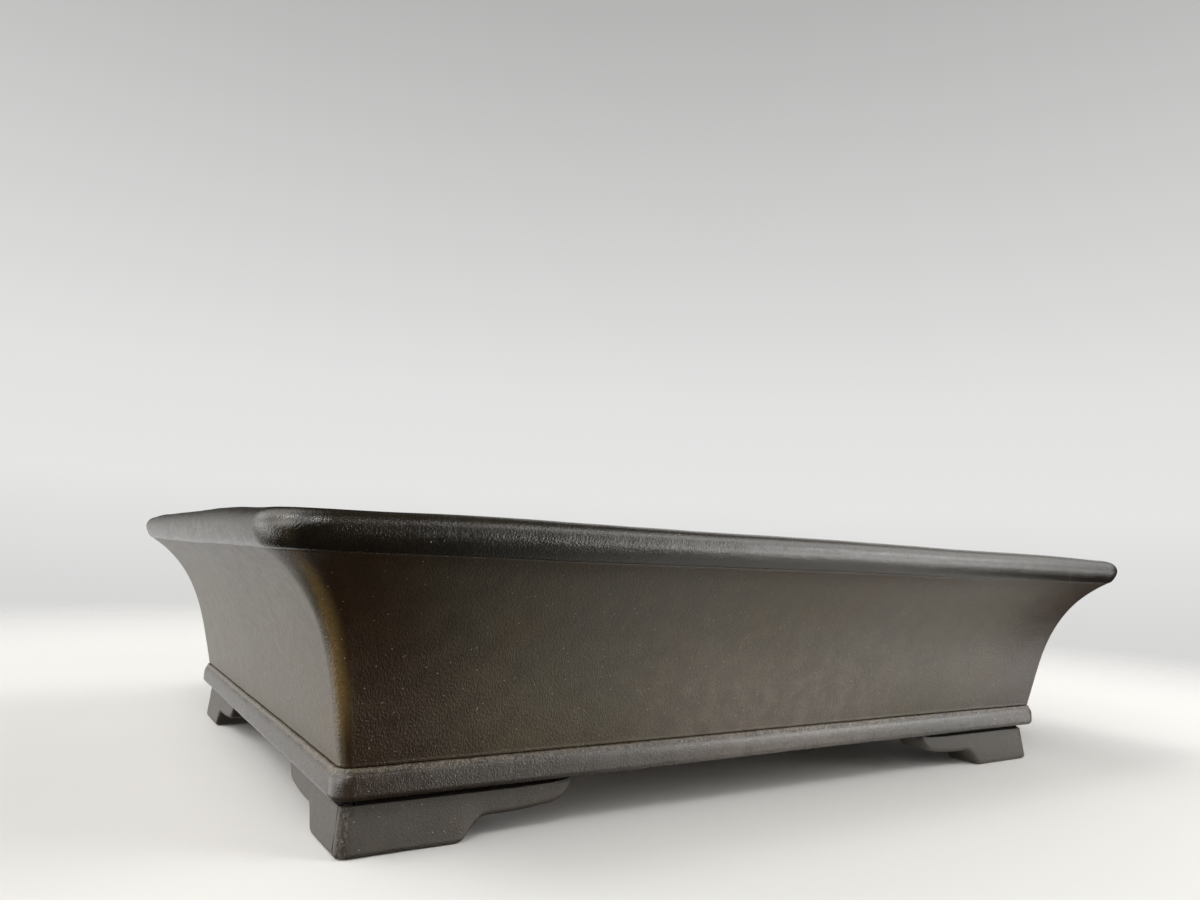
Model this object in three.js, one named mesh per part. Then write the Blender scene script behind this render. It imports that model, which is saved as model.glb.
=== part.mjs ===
// A rectangular bonsai pot of unglazed stoneware: walls that flare out to a thick rim, a band round the
// base, and four L-shaped bracket feet. Its clay pieces are the ones that a potter cuts and lutes together.
// Sizes are in millimetres. +Z is up, X runs along the long sides, and the origin lies on the table
// under the middle of the pot.

import * as THREE from 'three';

// Overall sizes
const potHeight = 100;
const bandLength = 350;
const bandWidth = 238;
const rimReach = 31.3; // the rim's face stands out this far past the band's face, on every side

// Heights of the layers
const footHeight = 17;
const bandHeight = 10.5;
const rimHeight = 11;

// Walls
const wallThickness = 9;
const longSideBow = 2.5; // a long side stands out this much more at the middle of the rim
const shortSideBow = 1;

// The wall's curve passes between these two pulls, as shares of how far it reaches out and up
const wallLowerPull = { out: 0.155, up: 0.366 };
const wallUpperPull = { out: 0.252, up: 0.771 };

// Plan corners
const cornerRadiusAtFoot = 3.8; // at the foot of the wall
const cornerRadiusAtRim = 18;
const cornerGrowth = 1.3; // how late the radius grows between the two, where 1 is evenly
const bandCornerRadius = 6.5;
const leastCornerRadius = 1;

// Band
const bandProud = 2; // the band's face stands out this far past the foot of the wall
const bandSeat = 4; // the band reaches this far in under the wall
const bandLowerRadius = 1.8;
const bandLedgeDrop = 2.2; // the band's top slopes down this much from the wall to its face

// Rim
const rimBreadth = 20;
const rimFaceLean = 1; // the lower edge of the rim's face lies this much further in than the upper
const rimUpperRadius = 3;
const rimLowerRadius = 1.5;
const rimInnerRadius = 3;

// Feet
const footInsetBelow = 3.5; // the foot's face lies this far behind the band's face at the table
const footInsetAbove = 6; // and this far at the top of the foot
const shortLegOutBelow = 0.5; // a short side's face stands out this much more at the table
const shortLegOutAbove = 1.8; // and this much at the top of the foot, so that it is more upright
const footThickness = 14;
const footCornerRadius = 3;
const footInnerRadius = 2;
const footChamfer = 0.8;
// A leg's lower edge, from the corner along: flat on the table, a cove that rolls off the sole and steps
// up, a slack run that rises a little, and the scroll's round up to the band
const longLeg = { flat: 37, cove: 11.3, coveRise: 7, slack: 21.7, slackRise: 1.2, scroll: 9.2 };
const shortLeg = { flat: 27, cove: 8.5, coveRise: 7.2, slack: 19, slackRise: 1.1, scroll: 8.5 };
const coveRoll = 0.42; // the cove's steepest place, as a share of its length
const scrollTurn = THREE.MathUtils.degToRad(79); // the round stops short of upright, with a blunt end

// Floor
const drainRadius = 18;
const drainFromWall = 79; // from the wall's inside to the middle of the hole
const tieHoleRadius = 2.75;
const tieHoleFromWall = 46;
const tieHoleFromDrain = 25; // along the pot, towards its middle

// Drain screens and their wire clips
const screenLap = 4.5; // the net reaches at least this far past the hole's edge
const screenPitch = 6.5;
const screenBar = 1.8;
const screenThickness = 1.2;
const wireRadius = 0.75;
const wireBend = 2;
const clipGrip = 4; // the wire's ends reach this far past the hole's edge, under the floor
const runningGap = 0.3; // between loose pieces and what they lie on

// How finely the curves are cut
const cornerSteps = 4;
const longSideSteps = 8;
const shortSideSteps = 6;
const wallSteps = 12;
const filletSteps = 4;
const coveSteps = 6;
const scrollSteps = 5;
const holeSteps = 28;
const wireSides = 6;
const wireSteps = 36;
const samePlace = 0.001; // points closer than this are one point

// Levels and places that follow from the sizes
const bandTop = footHeight + bandHeight;
const rimBottom = potHeight - rimHeight;
const halfLength = bandLength / 2 - bandProud; // to the outside of the wall at its foot
const halfWidth = bandWidth / 2 - bandProud;
const rimFace = bandProud + rimReach; // distances outward are counted from the wall's foot
const rimInnerEdge = rimFace - rimBreadth;
const wallFlare = rimFace - rimFaceLean - rimLowerRadius;
const drainFromMiddle = halfLength - wallThickness - drainFromWall;
const tieHoleAlong = drainFromMiddle - tieHoleFromDrain;
const tieHoleAcross = halfWidth - wallThickness - tieHoleFromWall;
const screenGaps = 2 * Math.ceil((drainRadius + screenLap) / screenPitch - 0.5) + 1; // along each edge
const footFace = (height) =>
  bandProud - THREE.MathUtils.lerp(footInsetBelow, footInsetAbove, height / footHeight);
const shortLegOut = (height) =>
  THREE.MathUtils.lerp(shortLegOutBelow, shortLegOutAbove, height / footHeight);

const longSide = { halfAlong: halfLength, halfOut: halfWidth, bow: longSideBow, steps: longSideSteps };
const shortSide = { halfAlong: halfWidth, halfOut: halfLength, bow: shortSideBow, steps: shortSideSteps };

// The plan's corner radius grows from the foot of the wall out to the rim's face.
function flaredCorner(out) {
  const share = THREE.MathUtils.clamp(out / rimFace, 0, 1);
  return THREE.MathUtils.lerp(cornerRadiusAtFoot, cornerRadiusAtRim, share ** cornerGrowth);
}

// The band's corners, and the floor's inside them, are rounded about one centre.
function bandCorner(out) {
  return Math.max(leastCornerRadius, bandCornerRadius + out - bandProud);
}

// A side bows out evenly from nothing at the wall's foot to its full bow at the rim.
function bowShare(up) {
  return THREE.MathUtils.clamp((up - bandTop) / (rimBottom - bandTop), 0, 1);
}

// A closed solid through a row of stations. Each station has a section, a closed outline of points
// (out, up), and a place function that puts such a point in space. All sections have as many points.
function loft(stations) {
  const positions = [];
  const faces = [];
  for (const { section, place } of stations) {
    for (const point of section) {
      positions.push(...place(point.x, point.y).toArray());
    }
  }
  const count = stations[0].section.length;
  for (let ring = 0; ring < stations.length - 1; ring += 1) {
    for (let i = 0; i < count; i += 1) {
      const here = ring * count + i;
      const next = ring * count + ((i + 1) % count);
      faces.push([here, next, next + count]);
      faces.push([here, next + count, here + count]);
    }
  }
  const endFaces = (section, offset, reversed) => {
    for (const face of THREE.ShapeUtils.triangulateShape(section, [])) {
      const turnsLeft = THREE.ShapeUtils.area(face.map((i) => section[i])) > 0;
      const sectionTurnsLeft = THREE.ShapeUtils.area(section) > 0;
      const [a, b, c] = face.map((i) => i + offset);
      faces.push((turnsLeft === sectionTurnsLeft) === reversed ? [a, c, b] : [a, b, c]);
    }
  };
  endFaces(stations[0].section, 0, true);
  endFaces(stations.at(-1).section, (stations.length - 1) * count, false);
  return solidFrom(positions, faces);
}

// Makes the geometry, with its faces turned outward.
function solidFrom(positions, faces) {
  const corner = (i) => new THREE.Vector3().fromArray(positions, i * 3);
  const volume = faces.reduce((sum, [a, b, c]) => sum + corner(a).dot(corner(b).cross(corner(c))), 0);
  const index = faces.flatMap(([a, b, c]) => (volume > 0 ? [a, b, c] : [a, c, b]));
  const geometry = new THREE.BufferGeometry();
  geometry.setAttribute('position', new THREE.Float32BufferAttribute(positions, 3));
  geometry.setIndex(index);
  geometry.computeVertexNormals();
  return geometry;
}

// The places along one side of the pot, seen as the front: along X, with its outside towards -Y. It runs
// from the middle of one rounded corner to the middle of the next, so that neighbours meet on a mitre.
// The corner's radius is a function of the distance outward.
function sidePlaces(side, cornerRadius) {
  const places = [];
  const cornerPlace = (end, turn) => (out, up) => {
    const radius = cornerRadius(out);
    const sine = turn === Math.PI / 4 ? Math.SQRT1_2 : Math.sin(turn);
    const cosine = turn === Math.PI / 4 ? Math.SQRT1_2 : Math.cos(turn);
    const along = side.halfAlong + out - radius + radius * sine;
    const across = side.halfOut + out - radius + radius * cosine;
    return new THREE.Vector3(end * along, -across, up);
  };
  const straightPlace = (share) => (out, up) => {
    const along = share * (side.halfAlong + out - cornerRadius(out));
    const across = side.halfOut + out + side.bow * bowShare(up) * (1 - share * share);
    return new THREE.Vector3(along, -across, up);
  };
  for (let i = cornerSteps; i > 0; i -= 1) {
    places.push(cornerPlace(-1, ((Math.PI / 4) * i) / cornerSteps));
  }
  for (let i = 0; i <= side.steps; i += 1) {
    places.push(straightPlace((2 * i) / side.steps - 1));
  }
  for (let i = 1; i <= cornerSteps; i += 1) {
    places.push(cornerPlace(1, ((Math.PI / 4) * i) / cornerSteps));
  }
  return places;
}

// A strip of one section along a whole side.
function sideStrip(section, side, cornerRadius) {
  return loft(sidePlaces(side, cornerRadius).map((place) => ({ section, place })));
}

// One face of the wall's section, from its foot up to the rim: a curve that starts nearly upright and
// leans out more and more.
function wallCurve(footOut, rimOut) {
  const height = rimBottom - bandTop;
  const reach = rimOut - footOut;
  const curve = new THREE.CubicBezierCurve(
    new THREE.Vector2(footOut, bandTop),
    new THREE.Vector2(footOut + wallLowerPull.out * reach, bandTop + wallLowerPull.up * height),
    new THREE.Vector2(footOut + wallUpperPull.out * reach, bandTop + wallUpperPull.up * height),
    new THREE.Vector2(rimOut, rimBottom),
  );
  return curve.getPoints(wallSteps);
}

function wallSection() {
  const outside = wallCurve(0, wallFlare);
  const inside = wallCurve(-wallThickness, rimInnerEdge);
  return [...outside, ...inside.reverse()];
}

function rimSection() {
  const lowerFace = rimFace - rimFaceLean;
  const shape = new THREE.Shape();
  shape.moveTo(rimInnerEdge, rimBottom);
  shape.lineTo(wallFlare, rimBottom);
  shape.quadraticCurveTo(lowerFace, rimBottom, lowerFace, rimBottom + rimLowerRadius);
  shape.lineTo(rimFace, potHeight - rimUpperRadius);
  shape.absarc(rimFace - rimUpperRadius, potHeight - rimUpperRadius, rimUpperRadius, 0, Math.PI / 2);
  const innerRound = rimInnerEdge + rimInnerRadius;
  shape.lineTo(innerRound, potHeight);
  shape.absarc(innerRound, potHeight - rimInnerRadius, rimInnerRadius, Math.PI / 2, Math.PI);
  return outline(shape, filletSteps);
}

function bandSection() {
  const shape = new THREE.Shape();
  shape.moveTo(-bandSeat, footHeight);
  shape.lineTo(bandProud - bandLowerRadius, footHeight);
  shape.quadraticCurveTo(bandProud, footHeight, bandProud, footHeight + bandLowerRadius);
  shape.lineTo(bandProud, bandTop - bandLedgeDrop);
  shape.quadraticCurveTo(bandProud, bandTop - bandLedgeDrop / 2, 0, bandTop);
  shape.lineTo(-bandSeat, bandTop);
  return outline(shape, filletSteps);
}

// The points of a shape, with none of them twice.
function outline(shape, steps) {
  const points = shape.getPoints(steps);
  return points.filter((point, i) => point.distanceTo(points.at(i - 1)) > samePlace);
}

// The lower edge of one leg of a foot, as points (distance from the foot's corner, height).
function legEdge(leg) {
  const steepest = leg.flat + leg.cove * coveRoll;
  const cove = new THREE.CubicBezierCurve(
    new THREE.Vector2(leg.flat, 0),
    new THREE.Vector2(steepest, 0),
    new THREE.Vector2(steepest, leg.coveRise),
    new THREE.Vector2(leg.flat + leg.cove, leg.coveRise),
  );
  const points = cove.getPoints(coveSteps);
  const scrollStart = leg.flat + leg.cove + leg.slack;
  const scrollRise = footHeight - leg.coveRise - leg.slackRise;
  for (let i = 0; i <= scrollSteps; i += 1) {
    const turn = (scrollTurn * i) / scrollSteps;
    const along = scrollStart + leg.scroll * Math.sin(turn);
    points.push(new THREE.Vector2(along, footHeight - scrollRise * Math.cos(turn)));
  }
  return points;
}

// The section of a foot where its lower edge is at a given height: a battered face, a small chamfer
// that takes at most half of what height is left there, and an upright back.
function footSection(underside) {
  const back = bandProud - footInsetAbove - footThickness;
  const chamfer = Math.min(footChamfer, (footHeight - underside) / 2);
  return [
    new THREE.Vector2(back, footHeight),
    new THREE.Vector2(back, underside),
    new THREE.Vector2(footFace(underside) - chamfer, underside),
    new THREE.Vector2(footFace(underside + chamfer), underside + chamfer),
    new THREE.Vector2(footFace(footHeight), footHeight),
  ];
}

// The foot under the corner at +X and -Y. One leg runs along X, under a long side, and the other along Y.
function cornerFoot(legAlongX, legAlongY) {
  const cornerX = halfLength + footFace(0) + shortLegOut(0);
  const cornerY = halfWidth + footFace(0);
  const stations = [];
  for (const point of legEdge(legAlongX).reverse()) {
    const place = (out, up) => new THREE.Vector3(cornerX - point.x, -halfWidth - out, up);
    stations.push({ section: footSection(point.y), place });
  }
  for (let i = 0; i <= 2 * cornerSteps; i += 1) {
    const turn = ((Math.PI / 4) * i) / cornerSteps;
    const place = (out, up) => {
      const depth = THREE.MathUtils.clamp((footFace(0) - out) / footThickness, 0, 1);
      const radius = THREE.MathUtils.lerp(footCornerRadius, footInnerRadius, depth);
      return new THREE.Vector3(
        halfLength + out + shortLegOut(up) - radius + radius * Math.sin(turn),
        -(halfWidth + out - radius + radius * Math.cos(turn)),
        up,
      );
    };
    stations.push({ section: footSection(0), place });
  }
  for (const point of legEdge(legAlongY)) {
    const place = (out, up) => {
      return new THREE.Vector3(halfLength + out + shortLegOut(up), -cornerY + point.x, up);
    };
    stations.push({ section: footSection(point.y), place });
  }
  return loft(stations);
}

// A round hole as a path for a shape.
function roundHole(x, y, radius, steps) {
  const points = [];
  for (let i = 0; i < steps; i += 1) {
    const turn = (2 * Math.PI * i) / steps;
    points.push(new THREE.Vector2(x + radius * Math.cos(turn), y + radius * Math.sin(turn)));
  }
  return new THREE.Path(points);
}

// The slab of the floor fills the ring of band strips, and the walls stand on its edge.
function floorSlab() {
  const points = [];
  [longSide, shortSide, longSide, shortSide].forEach((side, quarter) => {
    const places = sidePlaces(side, bandCorner).slice(0, -1);
    const centre = new THREE.Vector2();
    for (const place of places) {
      const { x, y } = place(-bandSeat, 0);
      points.push(new THREE.Vector2(x, y).rotateAround(centre, (quarter * Math.PI) / 2));
    }
  });
  const shape = new THREE.Shape(points);
  for (const end of [-1, 1]) {
    shape.holes.push(roundHole(end * drainFromMiddle, 0, drainRadius, holeSteps));
    for (const edge of [-1, 1]) {
      shape.holes.push(roundHole(end * tieHoleAlong, edge * tieHoleAcross, tieHoleRadius, holeSteps / 2));
    }
  }
  const slab = new THREE.ExtrudeGeometry(shape, { depth: bandHeight, bevelEnabled: false });
  slab.translate(0, 0, footHeight);
  return slab;
}

// A square net, lying on its underside round the origin. The lines are the edges of its bars, and the
// cells between them are bars, crossings or, where both numbers are odd, gaps.
function drainScreen() {
  const lines = [];
  for (let bar = 0; bar <= screenGaps; bar += 1) {
    const start = (bar - screenGaps / 2) * screenPitch - screenBar / 2;
    lines.push(start, start + screenBar);
  }
  const layer = (z) => lines.flatMap((y) => lines.flatMap((x) => [x, y, z]));
  const positions = [...layer(0), ...layer(screenThickness)];
  const cells = lines.length - 1;
  const isBar = (column, row) =>
    Math.min(column, row) >= 0 && Math.max(column, row) < cells && !(column % 2 === 1 && row % 2 === 1);
  const faces = [];
  const addQuad = (...corners) => {
    const [a, b, c, d] = corners.map(([x, y, level]) => (level * lines.length + y) * lines.length + x);
    faces.push([a, b, c], [a, c, d]);
  };
  for (let x = 0; x < cells; x += 1) {
    for (let y = 0; y < cells; y += 1) {
      if (!isBar(x, y)) continue;
      addQuad([x, y, 1], [x + 1, y, 1], [x + 1, y + 1, 1], [x, y + 1, 1]);
      addQuad([x, y, 0], [x, y + 1, 0], [x + 1, y + 1, 0], [x + 1, y, 0]);
      if (!isBar(x, y - 1)) addQuad([x, y, 0], [x + 1, y, 0], [x + 1, y, 1], [x, y, 1]);
      if (!isBar(x + 1, y)) addQuad([x + 1, y, 0], [x + 1, y + 1, 0], [x + 1, y + 1, 1], [x + 1, y, 1]);
      if (!isBar(x, y + 1)) addQuad([x + 1, y + 1, 0], [x, y + 1, 0], [x, y + 1, 1], [x + 1, y + 1, 1]);
      if (!isBar(x - 1, y)) addQuad([x, y + 1, 0], [x, y, 0], [x, y, 1], [x, y + 1, 1]);
    }
  }
  return solidFrom(positions, faces);
}

// A staple of wire: over the net, down through two of its gaps inside the drain hole, and turned out
// under the floor. Its height is counted from the floor's top.
function screenClip() {
  const gapsOut = Math.floor((drainRadius - wireRadius - runningGap) / screenPitch);
  const legX = gapsOut * screenPitch;
  const top = screenThickness + runningGap + wireRadius;
  const bottom = -bandHeight - runningGap - wireRadius;
  const path = new THREE.CurvePath();
  let last = new THREE.Vector3(-drainRadius - clipGrip, 0, bottom);
  const straightTo = (x, z) => {
    const point = new THREE.Vector3(x, 0, z);
    path.add(new THREE.LineCurve3(last, point));
    last = point;
  };
  const bendTo = (cornerX, cornerZ, x, z) => {
    const point = new THREE.Vector3(x, 0, z);
    path.add(new THREE.QuadraticBezierCurve3(last, new THREE.Vector3(cornerX, 0, cornerZ), point));
    last = point;
  };
  straightTo(-legX - wireBend, bottom);
  bendTo(-legX, bottom, -legX, bottom + wireBend);
  straightTo(-legX, top - wireBend);
  bendTo(-legX, top, -legX + wireBend, top);
  straightTo(legX - wireBend, top);
  bendTo(legX, top, legX, top - wireBend);
  straightTo(legX, bottom + wireBend);
  bendTo(legX, bottom, legX + wireBend, bottom);
  straightTo(drainRadius + clipGrip, bottom);
  const wire = new THREE.Shape(roundHole(0, 0, wireRadius, wireSides).getPoints());
  return new THREE.ExtrudeGeometry(wire, { steps: wireSteps, extrudePath: path });
}

// Unglazed clay: rough, with no metal in it.
function clay(color) {
  return new THREE.MeshStandardMaterial({ color, roughness: 0.72, metalness: 0 });
}

const wallClay = () => clay('#5a5144');
const rimClay = () => clay('#4c4843');
const bandClay = () => clay('#5c564e');
const footClay = () => clay('#59524a');
const floorClay = () => clay('#5a5042');
const netPlastic = () => new THREE.MeshStandardMaterial({ color: '#24272a', roughness: 0.55, metalness: 0 });
const wireMetal = () => new THREE.MeshStandardMaterial({ color: '#a9abad', roughness: 0.35, metalness: 0.9 });

const pot = new THREE.Group();

function addPiece(name, geometry, material, quarterTurns = 0) {
  const mesh = new THREE.Mesh(geometry, material);
  mesh.name = name;
  mesh.rotation.z = (quarterTurns * Math.PI) / 2;
  pot.add(mesh);
  return mesh;
}

// Walls, rim and band go round the pot in four mitred strips each.
const courses = [
  { name: 'wall', section: wallSection(), corner: flaredCorner, material: wallClay },
  { name: 'rim', section: rimSection(), corner: flaredCorner, material: rimClay },
  { name: 'band', section: bandSection(), corner: bandCorner, material: bandClay },
];
for (const { name, section, corner, material } of courses) {
  ['front', 'right', 'back', 'left'].forEach((sideName, quarter) => {
    const side = quarter % 2 === 0 ? longSide : shortSide;
    addPiece(`${name}_${sideName}`, sideStrip(section, side, corner), material(), quarter);
  });
}

addPiece('floor_slab', floorSlab(), floorClay());

// Opposite feet are the same piece turned half round, and the other two are its mirror image.
const footAtFrontRight = cornerFoot(longLeg, shortLeg);
addPiece('foot_front_right', footAtFrontRight, footClay());
addPiece('foot_back_left', footAtFrontRight.clone(), footClay(), 2);
addPiece('foot_front_left', mirrored(footAtFrontRight), footClay());
addPiece('foot_back_right', mirrored(footAtFrontRight), footClay(), 2);

// The same solid with left and right changed over.
function mirrored(geometry) {
  const positions = Array.from(geometry.getAttribute('position').array);
  const turned = positions.map((value, i) => (i % 3 === 0 ? -value : value));
  const index = Array.from(geometry.getIndex().array);
  const faces = [];
  for (let i = 0; i < index.length; i += 3) {
    faces.push(index.slice(i, i + 3));
  }
  return solidFrom(turned, faces);
}

// The net lies on the floor over each drain hole, and the clip holds it there.
for (const [sideName, end] of [['left', -1], ['right', 1]]) {
  const screen = addPiece(`drain_screen_${sideName}`, drainScreen(), netPlastic());
  screen.position.set(end * drainFromMiddle, 0, bandTop);
  const clip = addPiece(`screen_clip_${sideName}`, screenClip(), wireMetal());
  clip.position.set(end * drainFromMiddle, 0, bandTop);
}

export default pot;
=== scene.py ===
"""The looks of a rectangular bonsai pot of unglazed stoneware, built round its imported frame.

Each clay course of the pot (wall, rim, band) is four mitred pieces, as in the frame, with finer
sections and the slight unevenness of hand work. Sizes in the classes are in millimetres, counted as
in the frame: "out" is the distance outward from the foot of the wall, and "up" is the height above
the table. Meshes are made in metres.
"""

from __future__ import annotations

import logging
import math
from collections.abc import Mapping, Sequence
from dataclasses import dataclass, field
from enum import Enum

import bpy
import numpy as np
from mathutils import Matrix, Vector, geometry, noise


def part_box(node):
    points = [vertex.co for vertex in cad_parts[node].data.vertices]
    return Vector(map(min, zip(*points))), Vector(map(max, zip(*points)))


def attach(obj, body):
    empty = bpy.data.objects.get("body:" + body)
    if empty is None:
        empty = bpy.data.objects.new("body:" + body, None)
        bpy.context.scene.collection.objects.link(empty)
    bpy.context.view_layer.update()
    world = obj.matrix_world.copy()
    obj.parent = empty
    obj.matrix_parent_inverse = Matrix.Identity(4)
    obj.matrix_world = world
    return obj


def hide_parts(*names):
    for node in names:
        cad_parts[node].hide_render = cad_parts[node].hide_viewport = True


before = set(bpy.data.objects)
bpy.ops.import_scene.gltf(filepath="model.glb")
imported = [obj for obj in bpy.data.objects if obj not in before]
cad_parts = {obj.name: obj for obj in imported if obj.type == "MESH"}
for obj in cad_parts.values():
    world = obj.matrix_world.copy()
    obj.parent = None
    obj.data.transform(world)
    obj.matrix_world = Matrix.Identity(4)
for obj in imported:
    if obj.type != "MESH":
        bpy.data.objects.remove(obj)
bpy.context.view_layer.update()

log = logging.getLogger("bonsai_pot")

METRES = 0.001  # one millimetre
HAND_SEED = 5  # which unevenness the hand-worked clay has
Point = tuple[float, float]
Section = list[Point]
Place = tuple[float, float, float]
Colour = tuple[float, float, float]
Face = tuple[int, ...]


class Signal:
    """A socket's value inside a shader, with the operators of shader maths."""

    def __init__(self, tree: ShaderTree, socket: bpy.types.NodeSocket) -> None:
        """Keeps the shader tree and the output socket that carries the value."""
        self.tree = tree
        self.socket = socket

    def _maths(self, operation: str, left: Signal | float, right: Signal | float = 0.0) -> Signal:
        """The result of a Math node on two values, the second of which some don't use."""
        made = self.tree.node("ShaderNodeMath", {"operation": operation}, {0: left, 1: right})
        return self.tree.output(made)

    def __add__(self, other: Signal | float) -> Signal:
        """This value plus another."""
        return self._maths("ADD", self, other)

    def __radd__(self, other: float) -> Signal:
        """A number plus this value."""
        return self._maths("ADD", other, self)

    def __sub__(self, other: Signal | float) -> Signal:
        """This value less another."""
        return self._maths("SUBTRACT", self, other)

    def __rsub__(self, other: float) -> Signal:
        """A number less this value."""
        return self._maths("SUBTRACT", other, self)

    def __mul__(self, other: Signal | float) -> Signal:
        """This value times another."""
        return self._maths("MULTIPLY", self, other)

    def __rmul__(self, other: float) -> Signal:
        """A number times this value."""
        return self._maths("MULTIPLY", other, self)

    def __abs__(self) -> Signal:
        """This value without its sign."""
        return self._maths("ABSOLUTE", self)

    def step(self, low: float, high: float) -> Signal:
        """A smooth step of this value.

        Args:
            low: Where the step is 0. It may lie above high, for a step that falls.
            high: Where the step is 1.

        Returns:
            A value from 0 to 1.
        """
        settings = {"interpolation_type": "SMOOTHSTEP", "clamp": True}
        sockets = {"Value": self, "From Min": low, "From Max": high, "To Min": 0.0, "To Max": 1.0}
        return self.tree.output(self.tree.node("ShaderNodeMapRange", settings, sockets))

    def step_mm(self, low: float, high: float, start: float = 0.0) -> Signal:
        """A smooth step of a length in metres between two in millimetres, counted from a start."""
        return self.step((start + low) * METRES, (start + high) * METRES)


class ShaderTree:
    """A node tree of a material or the world, filled by short calls."""

    def __init__(self, owner: bpy.types.Material | bpy.types.World) -> None:
        """Empties the owner's tree and keeps it.

        Args:
            owner: The material or world whose nodes are made.
        """
        owner.use_nodes = True
        self.nodes = owner.node_tree.nodes
        self.links = owner.node_tree.links
        self.nodes.clear()

    def node(
        self,
        kind: str,
        settings: Mapping[str, object] | None = None,
        sockets: Mapping[str | int, object] | None = None,
    ) -> bpy.types.Node:
        """Adds one node.

        Args:
            kind: The node's type.
            settings: The node's own settings, set before its sockets. A ramp's are its "stops".
            sockets: A value or a signal for each input, by name or by number.

        Returns:
            The node.
        """
        made = self.nodes.new(kind)
        for name, value in (settings or {}).items():
            if name == "stops":
                self._set_stops(made, value)
            else:
                setattr(made, name, value)
        for key, value in (sockets or {}).items():
            socket = made.inputs[key] if isinstance(key, int) else self._input(made, key)
            if isinstance(value, Signal):
                self.links.new(value.socket, socket)
            elif isinstance(value, tuple) and socket.type == "RGBA":
                socket.default_value = (*value, 1.0)
            else:
                socket.default_value = value
        return made

    @staticmethod
    def _set_stops(made: bpy.types.Node, stops: Sequence[tuple[float, Colour]]) -> None:
        """Sets the stops of a colour ramp.

        Args:
            made: The ramp's node.
            stops: Where each stop is, from 0 to 1, and its colour.
        """
        ramp = made.color_ramp.elements
        while len(ramp) < len(stops):
            ramp.new(1.0)
        for element, (at, colour) in zip(ramp, stops):
            element.position = at
            element.color = (*colour, 1.0)

    @staticmethod
    def _input(made: bpy.types.Node, name: str) -> bpy.types.NodeSocket:
        """The input of that name that is in use."""
        return next(s for s in made.inputs if s.enabled and s.name == name)

    def output(self, made: bpy.types.Node, name: str | None = None) -> Signal:
        """An output of a node, or its first one in use if no name is given."""
        return Signal(self, next(s for s in made.outputs if s.enabled and name in (None, s.name)))

    def place(self) -> Signal:
        """The point on the surface, in metres in the pot's frame."""
        return self.output(self.node("ShaderNodeTexCoord"), "Object")

    def _vector_maths(self, operation: str, *values: Signal | Place) -> bpy.types.Node:
        """Adds a Vector Math node on these values."""
        return self.node("ShaderNodeVectorMath", {"operation": operation}, dict(enumerate(values)))

    def stretched(self, vector: Signal, factors: Place, shift: Place = (0.0, 0.0, 0.0)) -> Signal:
        """A vector times one factor on each axis, and then moved by a shift."""
        return self.output(self._vector_maths("MULTIPLY_ADD", vector, factors, shift))

    def length(self, vector: Signal) -> Signal:
        """How long a vector is."""
        return self.output(self._vector_maths("LENGTH", vector), "Value")

    def dot(self, vector: Signal, direction: Signal | Place) -> Signal:
        """How far a vector goes in a direction."""
        return self.output(self._vector_maths("DOT_PRODUCT", vector, direction), "Value")

    def axes(self, vector: Signal) -> tuple[Signal, Signal, Signal]:
        """The three parts of a vector."""
        made = self.node("ShaderNodeSeparateXYZ", {}, {"Vector": vector})
        return self.output(made, "X"), self.output(made, "Y"), self.output(made, "Z")

    def noise(self, vector: Signal, grain: float, detail: float, lacing: float) -> Signal:
        """Cloudy noise.

        Args:
            vector: The place, in metres.
            grain: The size of the clouds in millimetres.
            detail: How many finer octaves there are.
            lacing: How strong the finer octaves are.

        Returns:
            A value about 0.5.
        """
        sockets = {
            "Vector": vector,
            "Scale": 1.0 / (grain * METRES),
            "Detail": detail,
            "Roughness": lacing,
        }
        return self.output(self.node("ShaderNodeTexNoise", {}, sockets), "Fac")

    def grains(self, vector: Signal, spacing: float, share: float, size: float) -> Signal:
        """Scattered single grains.

        Args:
            vector: The place, in metres.
            spacing: The size of the cells in millimetres, each of which may hold one grain.
            share: The share of the cells that hold one.
            size: The radius of a grain, as a share of the spacing.

        Returns:
            1 on a grain and 0 off it, with a soft edge.
        """
        sockets = {"Vector": vector, "Scale": 1.0 / (spacing * METRES)}
        made = self.node("ShaderNodeTexVoronoi", {}, sockets)
        chosen = self.axes(self.output(made, "Color"))[0].step(share + 0.01, share - 0.01)
        return self.output(made, "Distance").step(size, size * 0.45) * chosen

    def colour(
        self,
        factor: Signal | float,
        under: Signal | Colour,
        over: Signal | Colour,
        blend: str = "MIX",
    ) -> Signal:
        """Mixes two colours.

        Args:
            factor: How much of the second colour there is.
            under: The first colour.
            over: The second colour.
            blend: How they are mixed.

        Returns:
            The mixed colour.
        """
        settings = {"data_type": "RGBA", "blend_type": blend, "clamp_factor": True}
        sockets = {"Factor": factor, "A": under, "B": over}
        return self.output(self.node("ShaderNodeMix", settings, sockets))

    def shade(self, colour: Signal, low: float, high: float, amount: Signal) -> Signal:
        """A colour times a factor that goes from low to high as the amount goes from 0 to 1."""
        grey = self.colour(amount, (low, low, low), (high, high, high))
        return self.colour(1.0, colour, grey, "MULTIPLY")

    def bump(self, height: Signal, depth: float, under: Signal | None = None) -> Signal:
        """Relief from a height.

        Args:
            height: The height, from 0 to 1.
            depth: What a height of 1 is, in millimetres.
            under: Relief that this one lies on.

        Returns:
            The normal.
        """
        sockets: dict[str | int, object] = {"Height": height, "Distance": depth * METRES}
        if under is not None:
            sockets["Normal"] = under
        return self.output(self.node("ShaderNodeBump", {}, {**sockets, "Strength": 1.0}))

    def finish(self, shader: Signal, kind: str = "ShaderNodeOutputMaterial") -> None:
        """Ends the tree in its output node."""
        self.node(kind, {}, {"Surface": shader})

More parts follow.
